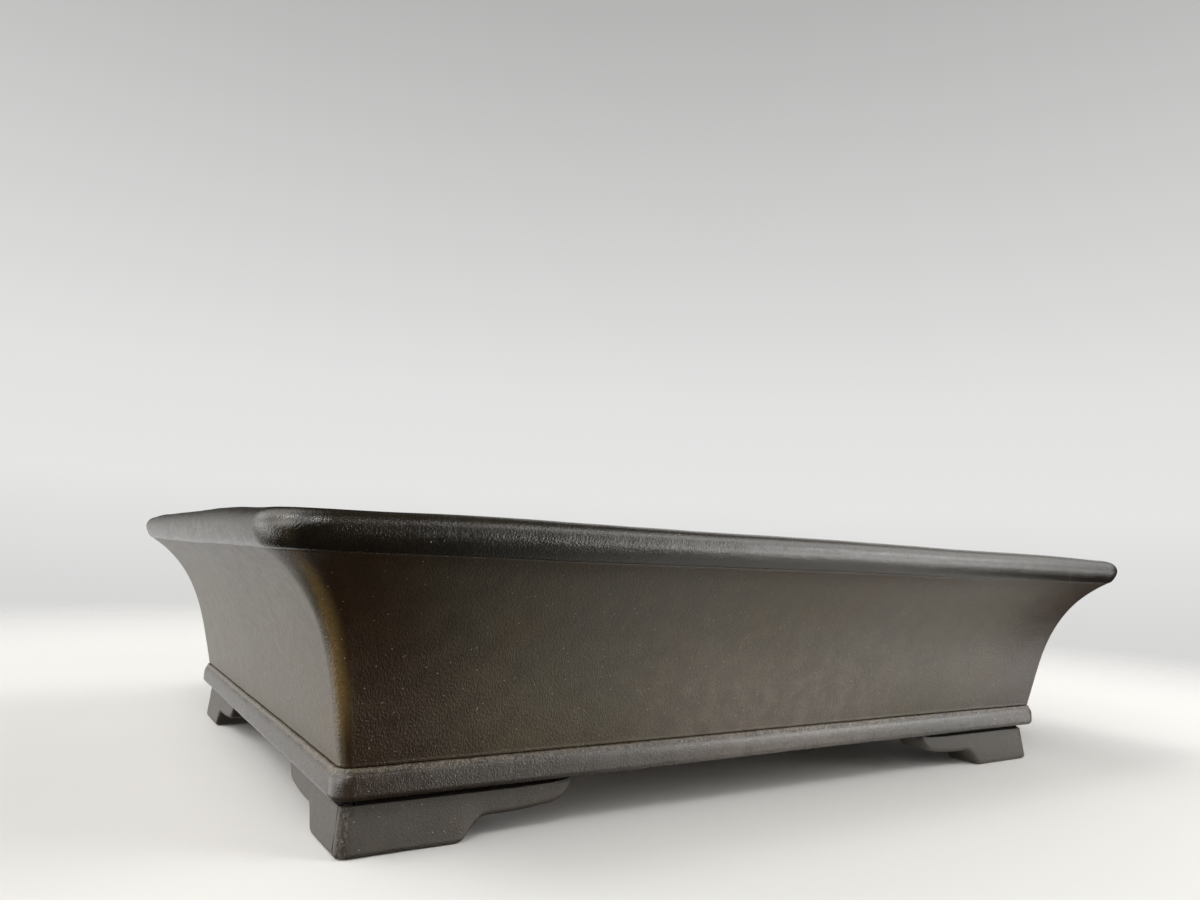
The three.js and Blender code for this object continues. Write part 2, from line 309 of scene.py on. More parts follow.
    def surface(self, sockets: Mapping[str | int, object]) -> None:
        """Ends a material in the common shader with these sockets."""
        self.finish(self.output(self.node("ShaderNodeBsdfPrincipled", {}, sockets)))


Dressing = tuple[Signal, Signal | float]


@dataclass(frozen=True)
class Stoneware:
    """Unglazed stoneware: a rust-brown fired body under a grey skin with a fine leathery grain and
    a dull sheen.

    Attributes:
        name: The finish's name.
        body: The clay's main colour.
        warm: The colour of its rusty clouds.
        cool: The colour of its grey clouds.
        roughness: The roughness of the skin.
        glassiness: The refractive index of the skin, which the firing has partly turned to glass.
        grain_depth: The depth of the leathery grain in millimetres.
        grain_size: The width of the grain in millimetres.
        streak: How much longer than wide the grain is, upwards.
        mottle: How strongly the colour is mottled, where 1 is from none to double.
        mottle_size: The size of the mottle in millimetres.
        cloud_size: The size of the grey clouds in millimetres.
        rust_size: The size of the rusty clouds in millimetres.
        swell_size: The width of the low swellings in millimetres.
        swell_depth: Their depth in millimetres.
        specks: The share of cells with a pale grain of sand.
        speck_spacing: The size of those cells in millimetres.
        speck_size: The radius of a grain of sand, as a share of its cell.
        pits: The share of cells with a pit.
        pit_spacing: The size of those cells in millimetres.
        pit_size: The radius of a pit, as a share of its cell.
        ragged: How far a border between colours wanders, in metres.
        umber_and_shade: The colour of the pits and of the feet's worn edges, and of painted shade.
        bloom: The colour of the sheen painted low on the middle of the long sides.
        sand: The colour of the grains of sand.
    """

    name: str
    body: Colour
    warm: Colour
    cool: Colour
    roughness: float = 0.35
    glassiness: float = 1.62
    grain_depth: float = 0.19
    grain_size: float = 0.60
    streak: float = 1.4
    mottle: float = 0.12
    mottle_size: float = 7.0
    cloud_size: float = 95.0
    rust_size: float = 42.0
    swell_size: float = 9.0
    swell_depth: float = 0.16
    specks: float = 0.42
    speck_spacing: float = 1.9
    speck_size: float = 0.115
    pits: float = 0.22
    pit_spacing: float = 3.4
    pit_size: float = 0.12
    ragged: float = 0.003
    umber_and_shade: Colour = (0.030, 0.015, 0.005)
    bloom: Colour = (0.155, 0.128, 0.106)
    sand: Colour = (0.58, 0.50, 0.36)

    def places(self, tree: ShaderTree, plan: PotPlan, mottle: Signal, colour: Signal) -> Dressing:
        """Dresses the places where a finish differs from the plain body, of which this has none."""
        return colour, 0.0

    def material(self, plan: PotPlan) -> bpy.types.Material:
        """Makes the finish.

        Args:
            plan: The pot's plan, which says where its corners are.

        Returns:
            The material.
        """
        material = bpy.data.materials.new(self.name)
        tree = ShaderTree(material)
        place = tree.place()

        clouds = tree.noise(place, self.cloud_size, 3.0, 0.5)
        rusty = tree.stretched(place, (1, 1, 1.2), (3.1, 0.7, 1.9))
        rust = tree.noise(rusty, self.rust_size, 3.0, 0.5)
        mottle = tree.noise(place, self.mottle_size, 4.0, 0.6)
        upright = tree.stretched(place, (1.0, 1.0, 1.0 / self.streak))
        grain = tree.noise(upright, self.grain_size, 2.0, 0.55)
        coarse = tree.noise(upright, self.grain_size * 3.1, 2.0, 0.5)
        pits = tree.grains(place, self.pit_spacing, self.pits, self.pit_size)
        sandy = tree.stretched(place, (1, 1, 1), (0.5, 0.2, 0.8))
        sand = tree.grains(sandy, self.speck_spacing, self.specks, self.speck_size)

        colour = tree.colour(clouds.step(0.38, 0.64), self.body, self.cool)
        colour = tree.colour(rust.step(0.50, 0.72) * 0.7, colour, self.warm)
        colour, extra = self.places(tree, plan, mottle, colour)
        colour = tree.shade(colour, 1 - self.mottle, 1 + self.mottle, mottle.step(0.30, 0.70))
        colour = tree.shade(colour, 0.80, 1.20, grain.step(0.28, 0.72))
        colour = tree.colour(pits * 0.6, colour, self.umber_and_shade)
        colour = tree.colour(sand * 0.8, colour, self.sand)

        swell = tree.noise(place, self.swell_size, 2.0, 0.5)
        relief = tree.bump(swell, self.swell_depth)
        height = grain * 0.9 + coarse * 0.16 - pits * 0.4 + sand * 0.2 + extra
        relief = tree.bump(height, self.grain_depth, relief)
        roughness = (mottle - 0.5) * 0.14 + (coarse - 0.5) * 0.16 + self.roughness
        tree.surface(
            {
                "Base Color": colour,
                "Roughness": roughness,
                "Normal": relief,
                "IOR": self.glassiness,
            }
        )
        return material

    def past_corner(self, tree: ShaderTree, plan: PotPlan, mottle: Signal) -> Signal:
        """How far a point is past the plan's diagonal, towards the long side.

        Args:
            tree: The finish's tree.
            plan: The pot's plan.
            mottle: The mottle, which makes borders uneven.

        Returns:
            The distance in metres, less than 0 on the short side.
        """
        x, y, _ = tree.axes(tree.place())
        past = (abs(y) - plan.half_width * METRES) - (abs(x) - plan.half_length * METRES)
        return past + (mottle - 0.5) * self.ragged


@dataclass(frozen=True)
class FlaredStoneware(Stoneware):
    """Stoneware of the walls and the rim. Shade is painted on the long sides beside the upright
    corners, light is painted along their ridges, a sheen is painted low on the middle of the long
    sides, and shade is painted in the angle under the lip.

    Attributes:
        corners: How strongly the painted shade beside the corners and the painted light along their
            ridges show.
        painted_ridge_light: The colour of the light painted along the ridges.
        corner_shade_end: Where the painted shade fades out past the corner, in millimetres, from
            none to full.
        corner_shade_start: Where it begins.
        sheen_along: Where the painted sheen begins past the corner, from none to full.
        sheen_up: The heights at which it fades out upwards.
        lit_ridge_end: Where the light painted along the ridges fades out past the corner.
        lit_ridge_start: Where it begins.
        lit_ridge_up: The heights at which it begins.
        lip_shade_below: Where the shade under the lip begins, from the rim's underside.
        lip_shade_above: Where it ends.
    """

    corners: float = 1.0
    painted_ridge_light: Colour = (0.170, 0.108, 0.036)
    corner_shade_end: Point = (68.0, 6.0)
    corner_shade_start: Point = (0.0, 2.5)
    sheen_along: Point = (80.0, 150.0)
    sheen_up: Point = (78.0, 30.0)
    lit_ridge_end: Point = (6.2, 1.0)
    lit_ridge_start: Point = (-3.6, -0.8)
    lit_ridge_up: Point = (30.0, 50.0)
    lip_shade_below: Point = (-6.5, -0.5)
    lip_shade_above: Point = (4.0, 1.0)

    def places(self, tree: ShaderTree, plan: PotPlan, mottle: Signal, colour: Signal) -> Dressing:
        """Dresses the outside with painted shade beside the corners and in the angle under the lip,
        a painted sheen low on the long sides, and painted light along the ridges.

        Args:
            tree: The finish's tree.
            plan: The pot's plan.
            mottle: The mottle, which makes borders uneven.
            colour: The plain body's colour.

        Returns:
            The colour, and the relief's extra height.
        """
        beside = self.past_corner(tree, plan, mottle)
        up = tree.axes(tree.place())[2]
        facing = tree.output(tree.node("ShaderNodeNewGeometry"), "Normal")
        outside = tree.dot(facing, tree.place()).step(-0.02, 0.02)
        # Painted shade: darker clay beside the upright corners of the long sides, on the outside.
        corner_shade = beside.step_mm(*self.corner_shade_end) * beside.step_mm(*self.corner_shade_start) * outside
        colour = tree.colour(corner_shade * self.corners, colour, self.umber_and_shade)
        # Painted sheen: paler clay low on the middle of the long sides.
        bloom = beside.step_mm(*self.sheen_along) * up.step_mm(*self.sheen_up)
        colour = tree.colour(bloom * (mottle * 0.6 + 0.2) * outside, colour, self.bloom)
        # Painted light: a lit strip along the ridges of the upright corners.
        lit_ridge = beside.step_mm(*self.lit_ridge_end) * beside.step_mm(*self.lit_ridge_start)
        lit_ridge = lit_ridge * up.step_mm(*self.lit_ridge_up)
        colour = tree.colour(lit_ridge * outside * (0.8 * self.corners), colour, self.painted_ridge_light)
        # Painted shade in the angle under the lip, on the outside.
        heel = plan.rim_bottom
        angle = up.step_mm(*self.lip_shade_below, heel) * up.step_mm(*self.lip_shade_above, heel)
        return tree.colour(angle * outside * 0.55, colour, self.umber_and_shade), 0.0


@dataclass(frozen=True)
class LedgedStoneware(Stoneware):
    """Stoneware of the band, with a ledge of pale crumbs that the modelling tool left. Shade is
    painted beside the corners and at its foot, and a sheen is painted on the middle of the long
    sides.

    Attributes:
        crumbs: The crumbs' colour.
        crumb_size: The size of the crumbs in millimetres.
        ledge_depth: How far below the top of the course they reach, in millimetres.
        ledge_soft: Half the width of their lower border.
        ragged_ledge: How far that border wanders, in metres.
        corner_shade_end: Where the painted shade fades out past the corner, in millimetres, none to
            full.
        corner_shade_start: Where it begins.
        sheen_along: Where the painted sheen begins past the corner, from none to full.
        joint_shade_up: Where the painted shade at the band's foot ends, from the top of the feet.
    """

    crumbs: Colour = (0.112, 0.090, 0.058)
    crumb_size: float = 1.5
    ledge_depth: float = 2.8
    ledge_soft: float = 0.3
    ragged_ledge: float = 0.0016
    corner_shade_end: Point = (50.0, 6.0)
    corner_shade_start: Point = (0.5, 4.0)
    sheen_along: Point = (80.0, 150.0)
    joint_shade_up: Point = (1.5, 0.2)

    def places(self, tree: ShaderTree, plan: PotPlan, mottle: Signal, colour: Signal) -> Dressing:
        """Dresses the ledge, and paints shade beside the corners, a sheen on the middle of the long
        sides and shade at the band's foot.

        Args:
            tree: The finish's tree.
            plan: The pot's plan.
            mottle: The mottle, which makes borders uneven.
            colour: The plain body's colour.

        Returns:
            The colour, and the relief's extra height.
        """
        up = tree.axes(tree.place())[2] + (mottle - 0.5) * self.ragged_ledge
        bottom = plan.band_top - self.ledge_depth
        ledge = up.step_mm(-self.ledge_soft, self.ledge_soft, bottom)
        broken = tree.noise(tree.place(), self.crumb_size, 3.0, 0.65).step(0.38, 0.60)
        beside = self.past_corner(tree, plan, mottle)
        # Painted shade: darker clay beside the corners.
        corner_shade = beside.step_mm(*self.corner_shade_end) * beside.step_mm(*self.corner_shade_start)
        # Painted sheen: paler clay on the middle of the long sides.
        bloom = beside.step_mm(*self.sheen_along) * (mottle * 0.6 + 0.1)
        colour = tree.colour(bloom, colour, self.bloom)
        # Painted shade at the band's foot, over the joint with the feet.
        joint = up.step_mm(*self.joint_shade_up, plan.foot_height)
        colour = tree.colour(corner_shade * 0.6, colour, self.umber_and_shade)
        colour = tree.colour(joint * 0.8, colour, self.umber_and_shade)
        colour = tree.colour(ledge * (broken * 0.7 + 0.2), colour, self.crumbs)
        return colour, ledge * broken * 0.9


@dataclass(frozen=True)
class FootStoneware(Stoneware):
    """Stoneware of the feet, rubbed pale and rough along the upright edge and the sole, with shade
    painted nearly black in the joint under the band.

    Attributes:
        rubbed: The rubbed clay's colour.
        rub_size: The size of the patches that are rubbed off, in millimetres.
        edge: Where the rubbed edge ends on either side of the corner, in millimetres.
        edge_core: Where it is fully rubbed.
        sole: How far up the rubbed sole reaches, in millimetres.
        ragged_sole: How far the sole's border wanders, in metres.
        joint_shade: The colour of the shade painted in the joint.
        joint_shade_up: Where the painted shade in the joint begins, from the top of the feet.
    """

    rubbed: Colour = (0.125, 0.108, 0.085)
    rub_size: float = 1.3
    edge: float = 2.8
    edge_core: float = 0.6
    sole: float = 1.7
    ragged_sole: float = 0.0012
    joint_shade: Colour = (0.008, 0.006, 0.004)
    joint_shade_up: Point = (-2.7, -2.2)

    def places(self, tree: ShaderTree, plan: PotPlan, mottle: Signal, colour: Signal) -> Dressing:
        """Dresses the edge and the sole, and paints shade in the joint.

        Args:
            tree: The finish's tree.
            plan: The pot's plan.
            mottle: The mottle, which makes borders uneven.
            colour: The plain body's colour.

        Returns:
            The colour, and the relief's extra height.
        """
        beside = abs(self.past_corner(tree, plan, mottle))
        up = tree.axes(tree.place())[2] + (mottle - 0.5) * self.ragged_sole
        broken = tree.noise(tree.place(), self.rub_size, 3.0, 0.65).step(0.42, 0.58)
        edge = beside.step_mm(self.edge, self.edge_core)
        rubbed = edge * broken
        colour = tree.colour(edge * 0.5, colour, self.umber_and_shade)
        colour = tree.colour(rubbed * 0.8, colour, self.rubbed)
        # Painted shade, nearly black, in the joint under the band.
        joint = up.step_mm(*self.joint_shade_up, plan.foot_height)
        colour = tree.colour(joint, colour, self.joint_shade)
        sole = up.step_mm(self.sole, 0.3 * self.sole)
        colour = tree.colour(sole * broken * 0.55, colour, self.rubbed)
        return colour, (rubbed * 2.0 + sole * broken) * -1.8


@dataclass(frozen=True)
class NetPlastic:
    """Moulded black net, dusty and slightly scuffed.

    Attributes:
        name: The finish's name.
        plastic: The plastic's colour.
        scuffed: Its colour where it is scuffed.
    """

    name: str = "net_plastic"
    plastic: Colour = (0.017, 0.019, 0.021)
    scuffed: Colour = (0.060, 0.062, 0.062)

    def material(self) -> bpy.types.Material:
        """Makes the finish.

        Returns:
            The material.
        """
        material = bpy.data.materials.new(self.name)
        tree = ShaderTree(material)
        place = tree.place()
        scuffs = tree.noise(tree.stretched(place, (1, 0.3, 1)), 1.3, 4.0, 0.65)
        dust = tree.noise(place, 9.0, 3.0, 0.6)
        colour = tree.colour(scuffs.step(0.52, 0.72) * 0.6, self.plastic, self.scuffed)
        colour = tree.shade(colour, 0.8, 1.7, dust.step(0.35, 0.75))
        roughness = scuffs * 0.35 + 0.34
        relief = tree.bump(scuffs, 0.03)
        tree.surface({"Base Color": colour, "Roughness": roughness, "Normal": relief, "IOR": 1.49})
        return material


@dataclass(frozen=True)
class ClipWire:
    """Drawn aluminium wire, dulled by handling.

    Attributes:
        name: The finish's name.
        bright: The metal's colour.
        dull: Its colour where it has tarnished.
    """

    name: str = "clip_wire"
    bright: Colour = (0.60, 0.61, 0.62)
    dull: Colour = (0.33, 0.33, 0.34)

    def material(self) -> bpy.types.Material:
        """Makes the finish.

        Returns:
            The material.
        """
        material = bpy.data.materials.new(self.name)
        tree = ShaderTree(material)
        place = tree.place()
        tarnish = tree.noise(place, 2.4, 4.0, 0.6)
        drawn = tree.noise(tree.stretched(place, (0.15, 1.0, 0.5)), 0.25, 2.0, 0.5)
        colour = tree.colour(tarnish.step(0.38, 0.66), self.bright, self.dull)
        colour = tree.shade(colour, 0.85, 1.1, drawn)
        roughness = tarnish * 0.3 + drawn * 0.12 + 0.16
        relief = tree.bump(drawn, 0.012)
        tree.surface(
            {"Base Color": colour, "Roughness": roughness, "Normal": relief, "Metallic": 1.0}
        )
        return material


def bezier(
    start: Point, first: Point, second: Point, end: Point, shares: Sequence[float]
) -> Section:
    """Points of a cubic curve.

    Args:
        start: Its first point.
        first: The pull on its start.
        second: The pull on its end.
        end: Its last point.
        shares: Where along it the points are, from 0 to 1.

    Returns:
        The points.
    """
    t = np.asarray(shares, float)[:, None]
    corners = [np.asarray(point, float) for point in (start, first, second, end)]
    weights = [(1 - t) ** 3, 3 * (1 - t) ** 2 * t, 3 * (1 - t) * t**2, t**3]
    return [tuple(point) for point in sum(w * c for w, c in zip(weights, corners))]


def rounded(corners: Sequence[tuple[float, float, float]], steps: int = 5) -> Section:
    """A closed outline with rounded corners.

    Args:
        corners: Each corner's place and its radius.
        steps: How many cuts each round has.

    Returns:
        The outline's points.
    """
    points: Section = []
    count = len(corners)
    for i, (x, y, radius) in enumerate(corners):
        here = np.array((x, y))
        if radius <= 0:
            points.append((x, y))
            continue
        before = np.array(corners[i - 1][:2]) - here
        after = np.array(corners[(i + 1) % count][:2]) - here
        before_length, after_length = np.linalg.norm(before), np.linalg.norm(after)
        before, after = before / before_length, after / after_length
        half_angle = math.acos(float(np.clip(before @ after, -1, 1))) / 2
        run = min(radius / math.tan(half_angle), 0.49 * before_length, 0.49 * after_length)
        start, end = here + before * run, here + after * run
        pull = 4 / 3 * math.tan((math.pi / 2 - half_angle) / 2) * math.tan(half_angle)
        pulls = (start - before * run * pull, end - after * run * pull)
        shares = np.linspace(0, 1, steps + 1)
        points += bezier(start, *pulls, end, shares)
    return points


def through(points: Sequence[Point], steps: int = 3) -> Section:
    """A smooth open curve through points.

    Args:
        points: The points that it passes, in order.
        steps: How many cuts there are between two of them.

    Returns:
        The curve's points.
    """
    p = np.asarray([points[0], *points, points[-1]], float)
    made: Section = []
    for i in range(1, len(p) - 2):
        before, start, end, after = p[i - 1 : i + 3]
        first, second = start + (end - before) / 6, end - (after - start) / 6
        made += bezier(start, first, second, end, np.linspace(0, 1, steps, endpoint=False))
    return [*made, tuple(p[-1])]


def hand_worked(points: np.ndarray) -> np.ndarray:
    """Moves points as hand work does: a slow warp and a shorter unevenness, one for all the clay.

    Args:
        points: Points in millimetres, one to a row.

    Returns:
        The moved points.
    """
    noise.seed_set(HAND_SEED)
    warp_size, warp, warp_start = 62.0, 0.34, Vector((7.3, 1.9, 4.1))
    dent_size, dent = 15.0, 0.085
    moved = points.copy()
    for i, point in enumerate(points):
        place = Vector(point)
        slow = noise.noise_vector(place / warp_size + warp_start)
        quick = noise.noise_vector(place / dent_size)
        moved[i] += np.array(slow) * warp + np.array(quick) * dent
    return moved


def loft_faces(rings: int, count: int) -> list[Face]:
    """The faces between closed rings of points, each with those of the next.

    Args:
        rings: How many rings there are.
        count: How many points each has.

    Returns:
        The faces, as numbers of points.
    """
    faces: list[Face] = []
    for i in range(rings - 1):
        for j in range(count):
            here, after = i * count + j, i * count + (j + 1) % count
            faces.append((here, here + count, after + count, after))
    return faces


def end_faces(rings: int, count: int) -> list[Face]:
    """The two faces that close the ends of such rings."""
    last = (rings - 1) * count
    return [tuple(range(count)), tuple(last + j for j in reversed(range(count)))]


def make_piece(
    name: str,
    points: np.ndarray,
    faces: Sequence[Face],
    normals: np.ndarray | None = None,
    flat: Sequence[int] = (),
) -> bpy.types.Object:
    """Makes a smooth-shaded mesh object.

    Args:
        name: The piece's name.
        points: Its vertices in millimetres.
        faces: Its faces, as numbers of vertices.
        normals: A normal for each vertex, or None to take those of the mesh.
        flat: The numbers of the faces that are shaded flat.

    Returns:
        The object, in the scene.
    """
    mesh = bpy.data.meshes.new(name)
    mesh.from_pydata((points * METRES).tolist(), [], [list(face) for face in faces])
    smooth = np.ones(len(mesh.polygons), bool)
    smooth[list(flat)] = False
    mesh.polygons.foreach_set("use_smooth", smooth)
    if normals is not None:
        mesh.normals_split_custom_set_from_vertices(normals.tolist())
    mesh.update()
    made = bpy.data.objects.new(name, mesh)
    bpy.context.scene.collection.objects.link(made)
    return made


def dress(
    piece: bpy.types.Object, material: bpy.types.Material, nodes: Sequence[str]
) -> None:
    """Gives a piece its finish and ties it to the frame.

    Args:
        piece: The piece.
        material: Its finish.
        nodes: The frame's nodes that the piece stands for.
    """
    piece.data.materials.append(material)
    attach(piece, "root")
    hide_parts(*nodes)
    log.info("%s: %d faces, finish %s", piece.name, len(piece.data.polygons), material.name)


class Side(Enum):
    """The pot's four sides, by how many quarter turns they are from the front."""

    FRONT = 0
    RIGHT = 1
    BACK = 2
    LEFT = 3

    @property
    def word(self) -> str:
        """The side's name in the frame's nodes."""
        return self.name.lower()


@dataclass
class PotPlan:
    """The pot seen from above, and the heights of its layers, as the frame has them.

    Attributes:
        corner_at_foot: The radius of the plan's corners at the wall's foot.
        corner_at_rim: Their radius at the rim's face.
        corner_growth: How late they grow between the two, where 1 is evenly.
        corner_inside: The radius of the corners inside.
        corner_at_band: Their radius at the band's face.
        least_corner: The least radius of a corner.
        long_bow: How far a long side stands out more at the middle of the rim.
        short_bow: The same for a short side.
        band_proud: How far the band's face stands out past the wall's foot.
        seat: How far in from the wall's foot the band meets the floor.
        joint: The rounding of the joint between the two.
        rim_breadth: How broad the rim is, from its face to its inside.
        drain_from_middle: How far along the drain holes are from the pot's middle.
        corner_dip: How far the rim's top sinks at the corners.
        dip_reach: How far along a side that goes.
        corner_cuts: How finely a corner is cut.
        cut_length: The length of a cut along the sides.
        half_length: Half the length over the wall's foot.
        half_width: Half the width over the wall's foot.
        foot_height: The height of the feet, where the band begins.
        band_top: The height of the band's top, where the wall begins.
        rim_bottom: The height of the rim's underside.
        top: The height of the rim's top.
        rim_face: How far out the rim's face is at the corners.
    """

    corner_at_foot: float = 3.8
    corner_at_rim: float = 18.0
    corner_growth: float = 1.3
    corner_inside: float = 10.0
    corner_at_band: float = 6.5
    least_corner: float = 1.0
    long_bow: float = 2.5
    short_bow: float = 1.0
    band_proud: float = 2.0
    seat: float = 4.0
    joint: float = 0.35
    rim_breadth: float = 20.0
    drain_from_middle: float = 85.0
    corner_dip: float = 0.8
    dip_reach: float = 26.0
    corner_cuts: int = 14
    cut_length: float = 4.2
    half_length: float = field(init=False)
    half_width: float = field(init=False)
    foot_height: float = field(init=False)
    band_top: float = field(init=False)
    rim_bottom: float = field(init=False)
    top: float = field(init=False)
    rim_face: float = field(init=False)

    def __post_init__(self) -> None:
        """Reads the sizes that the frame's nodes give."""
        band_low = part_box("band_front")[0] / METRES
        band_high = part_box("band_right")[1] / METRES
        rim_low, rim_high = (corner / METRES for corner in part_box("rim_front"))
        self.half_length = band_high.x - self.band_proud
        self.half_width = -band_low.y - self.band_proud
        self.foot_height = band_low.z
        self.band_top = band_high.z
        self.rim_bottom = rim_low.z
        self.top = rim_high.z
        self.rim_face = -rim_low.y - self.long_bow - self.half_width

    def corner_radius(self, out: float) -> float:
        """The radius of the corners of the wall's and the rim's faces at a distance outward."""
        growth = min(max(out / self.rim_face, 0.0), 1.0) ** self.corner_growth
        return self.corner_at_foot + (self.corner_at_rim - self.corner_at_foot) * growth

    def band_radius(self, out: float) -> float:
        """The radius of the band's corners, which are rounded about one centre."""
        return max(self.least_corner, self.corner_at_band + out - self.band_proud)

    @staticmethod
    def part_way(low: float, high: float, up: float) -> float:
        """How far a height is on the way from one to another, from 0 to 1."""
        return min(max((up - low) / (high - low), 0.0), 1.0)

    def side_sizes(self, side: Side) -> tuple[float, float, float]:
        """How a side lies in the plan.

        Args:
            side: The side.

        Returns:
            Half its length, its distance from the middle, and its bow.
        """
        if side.value % 2 == 0:
            return self.half_length, self.half_width, self.long_bow
        return self.half_width, self.half_length, self.short_bow

    def side_cuts(self, side: Side) -> int:
        """How many cuts the straight part of a side has."""
        return 2 * math.ceil(self.side_sizes(side)[0] / self.cut_length)

    def side_row(self, side: Side, out: float, up: float, radius: float) -> list[Place]:
        """The places of one point of the section all along a side, from its straight part's start
        to the end of the corner after it.

        Args:
            side: The side.
            out: The point's distance outward.
            up: Its height.
            radius: The radius of the corner there.

        Returns:
            Its place at each cut.
        """
        along, across, bow = self.side_sizes(side)
        centre_x, centre_y = along + out - radius, -(across + out - radius)
        row = []
        cuts = self.side_cuts(side)
        dip = self.corner_dip * self.part_way(self.rim_bottom, self.top, up)
        bow *= self.part_way(self.band_top, self.rim_bottom, up)
        for i in range(cuts):
            share = 2 * i / cuts - 1
            swell = bow * (1 - share * share)
            from_corner = along * (1 - abs(share))
            sunk = dip * math.exp(-((from_corner / self.dip_reach) ** 2))
            row.append((share * centre_x, -(across + out + swell), up - sunk))
        for i in range(self.corner_cuts):
            turn = math.pi / 2 * i / self.corner_cuts
            x, y = centre_x + radius * math.sin(turn), centre_y - radius * math.cos(turn)
            row.append((x, y, up - dip))
        quarter = Matrix.Rotation(side.value * math.pi / 2, 3, "Z")
        return [tuple(quarter @ Vector(point)) for point in row]

    def ring(self, section: Section, radii: Sequence[float]) -> np.ndarray:
        """A section taken all the way round the pot.

        Args:
            section: The closed outline of points (out, up).
            radii: The radius of the corners at each point.

        Returns:
            Points by cut and by point of the section.
        """
        rows = [
            [place for side in Side for place in self.side_row(side, out, up, radius)]
            for (out, up), radius in zip(section, radii)
        ]
        return np.array(rows).transpose(1, 0, 2)

    def mitre(self, side: Side) -> int:
        """The number of the cut in the middle of the corner before a side."""
        start = sum(self.side_cuts(s) + self.corner_cuts for s in Side if s.value < side.value)
        return start - self.corner_cuts // 2


def ring_normals(ring: np.ndarray) -> np.ndarray:
    """The outward normals of a closed ring of sections, weighted by the faces round each point.

    Args:
        ring: Points by cut and by point of the section.

    Returns:
        Normals in the same order.
    """
    across = np.roll(ring, -1, axis=0) - ring
    onward = np.roll(ring, -1, axis=1) - ring
    face = np.cross(across, onward)
    total = face + np.roll(face, 1, 0) + np.roll(face, 1, 1) + np.roll(np.roll(face, 1, 0), 1, 1)
    return total / np.maximum(np.linalg.norm(total, axis=2, keepdims=True), 1e-12)


@dataclass
class Course:
    """A layer of the pot: a section taken round its plan, in four pieces mitred at the corners.

    Attributes:
        plan: The pot's plan.
        name: The course's name, with which the frame's nodes begin.
        finish: Its finish.
    """

    plan: PotPlan
    name: str
    finish: Stoneware

    def section(self) -> Section:
        """The course's closed outline of points (out, up), counter-clockwise."""
        raise NotImplementedError

    def corner(self, out: float, up: float) -> float:
        """The radius of the corners at a point of the section."""
        raise NotImplementedError

    def build(self) -> None:
        """Makes the course's four pieces."""
        section = self.section()
        ring = self.plan.ring(section, [self.corner(*point) for point in section])
        ring = hand_worked(ring.reshape(-1, 3)).reshape(ring.shape)
        normals = ring_normals(ring)
        material = self.finish.material(self.plan)
        for side in Side:
            first = self.plan.mitre(side)
            last = first + self.plan.side_cuts(side) + self.plan.corner_cuts
            cuts = [i % len(ring) for i in range(first, last + 1)]
            self._piece(side, ring[cuts], normals[cuts], material)

    def _piece(
        self, side: Side, strip: np.ndarray, normals: np.ndarray, material: bpy.types.Material
    ) -> None:
        """Makes one side's piece, closed at its mitres by faces of their own.

        Args:
            side: The side.
            strip: Its points, by cut and by point of the section.
            normals: Their normals.
            material: The finish.
        """
        cuts, count = strip.shape[:2]
        faces = loft_faces(cuts, count)
        points, directions = [strip.reshape(-1, 3)], [normals.reshape(-1, 3)]
        flat = []
        outline = [Vector((x, y, 0.0)) for x, y in self.section()]
        ends = geometry.tessellate_polygon([outline])
        for cut, step in ((0, 1), (cuts - 1, -1)):
            start = sum(len(p) for p in points)
            towards = strip[cut] - strip[cut + step]
            towards = towards.mean(axis=0) / np.linalg.norm(towards.mean(axis=0))
            for triangle in ends:
                a, b, c = (strip[cut][i] for i in triangle)
                turned = np.dot(np.cross(b - a, c - a), towards) < 0
                flat.append(len(faces))
                faces.append(tuple(start + i for i in (triangle[::-1] if turned else triangle)))
            points.append(strip[cut])
            directions.append(np.tile(towards, (count, 1)))
        node = f"{self.name}_{side.word}"
        made = make_piece(
            f"dressed_{node}", np.concatenate(points), faces, np.concatenate(directions), flat
        )
        dress(made, material, [node])


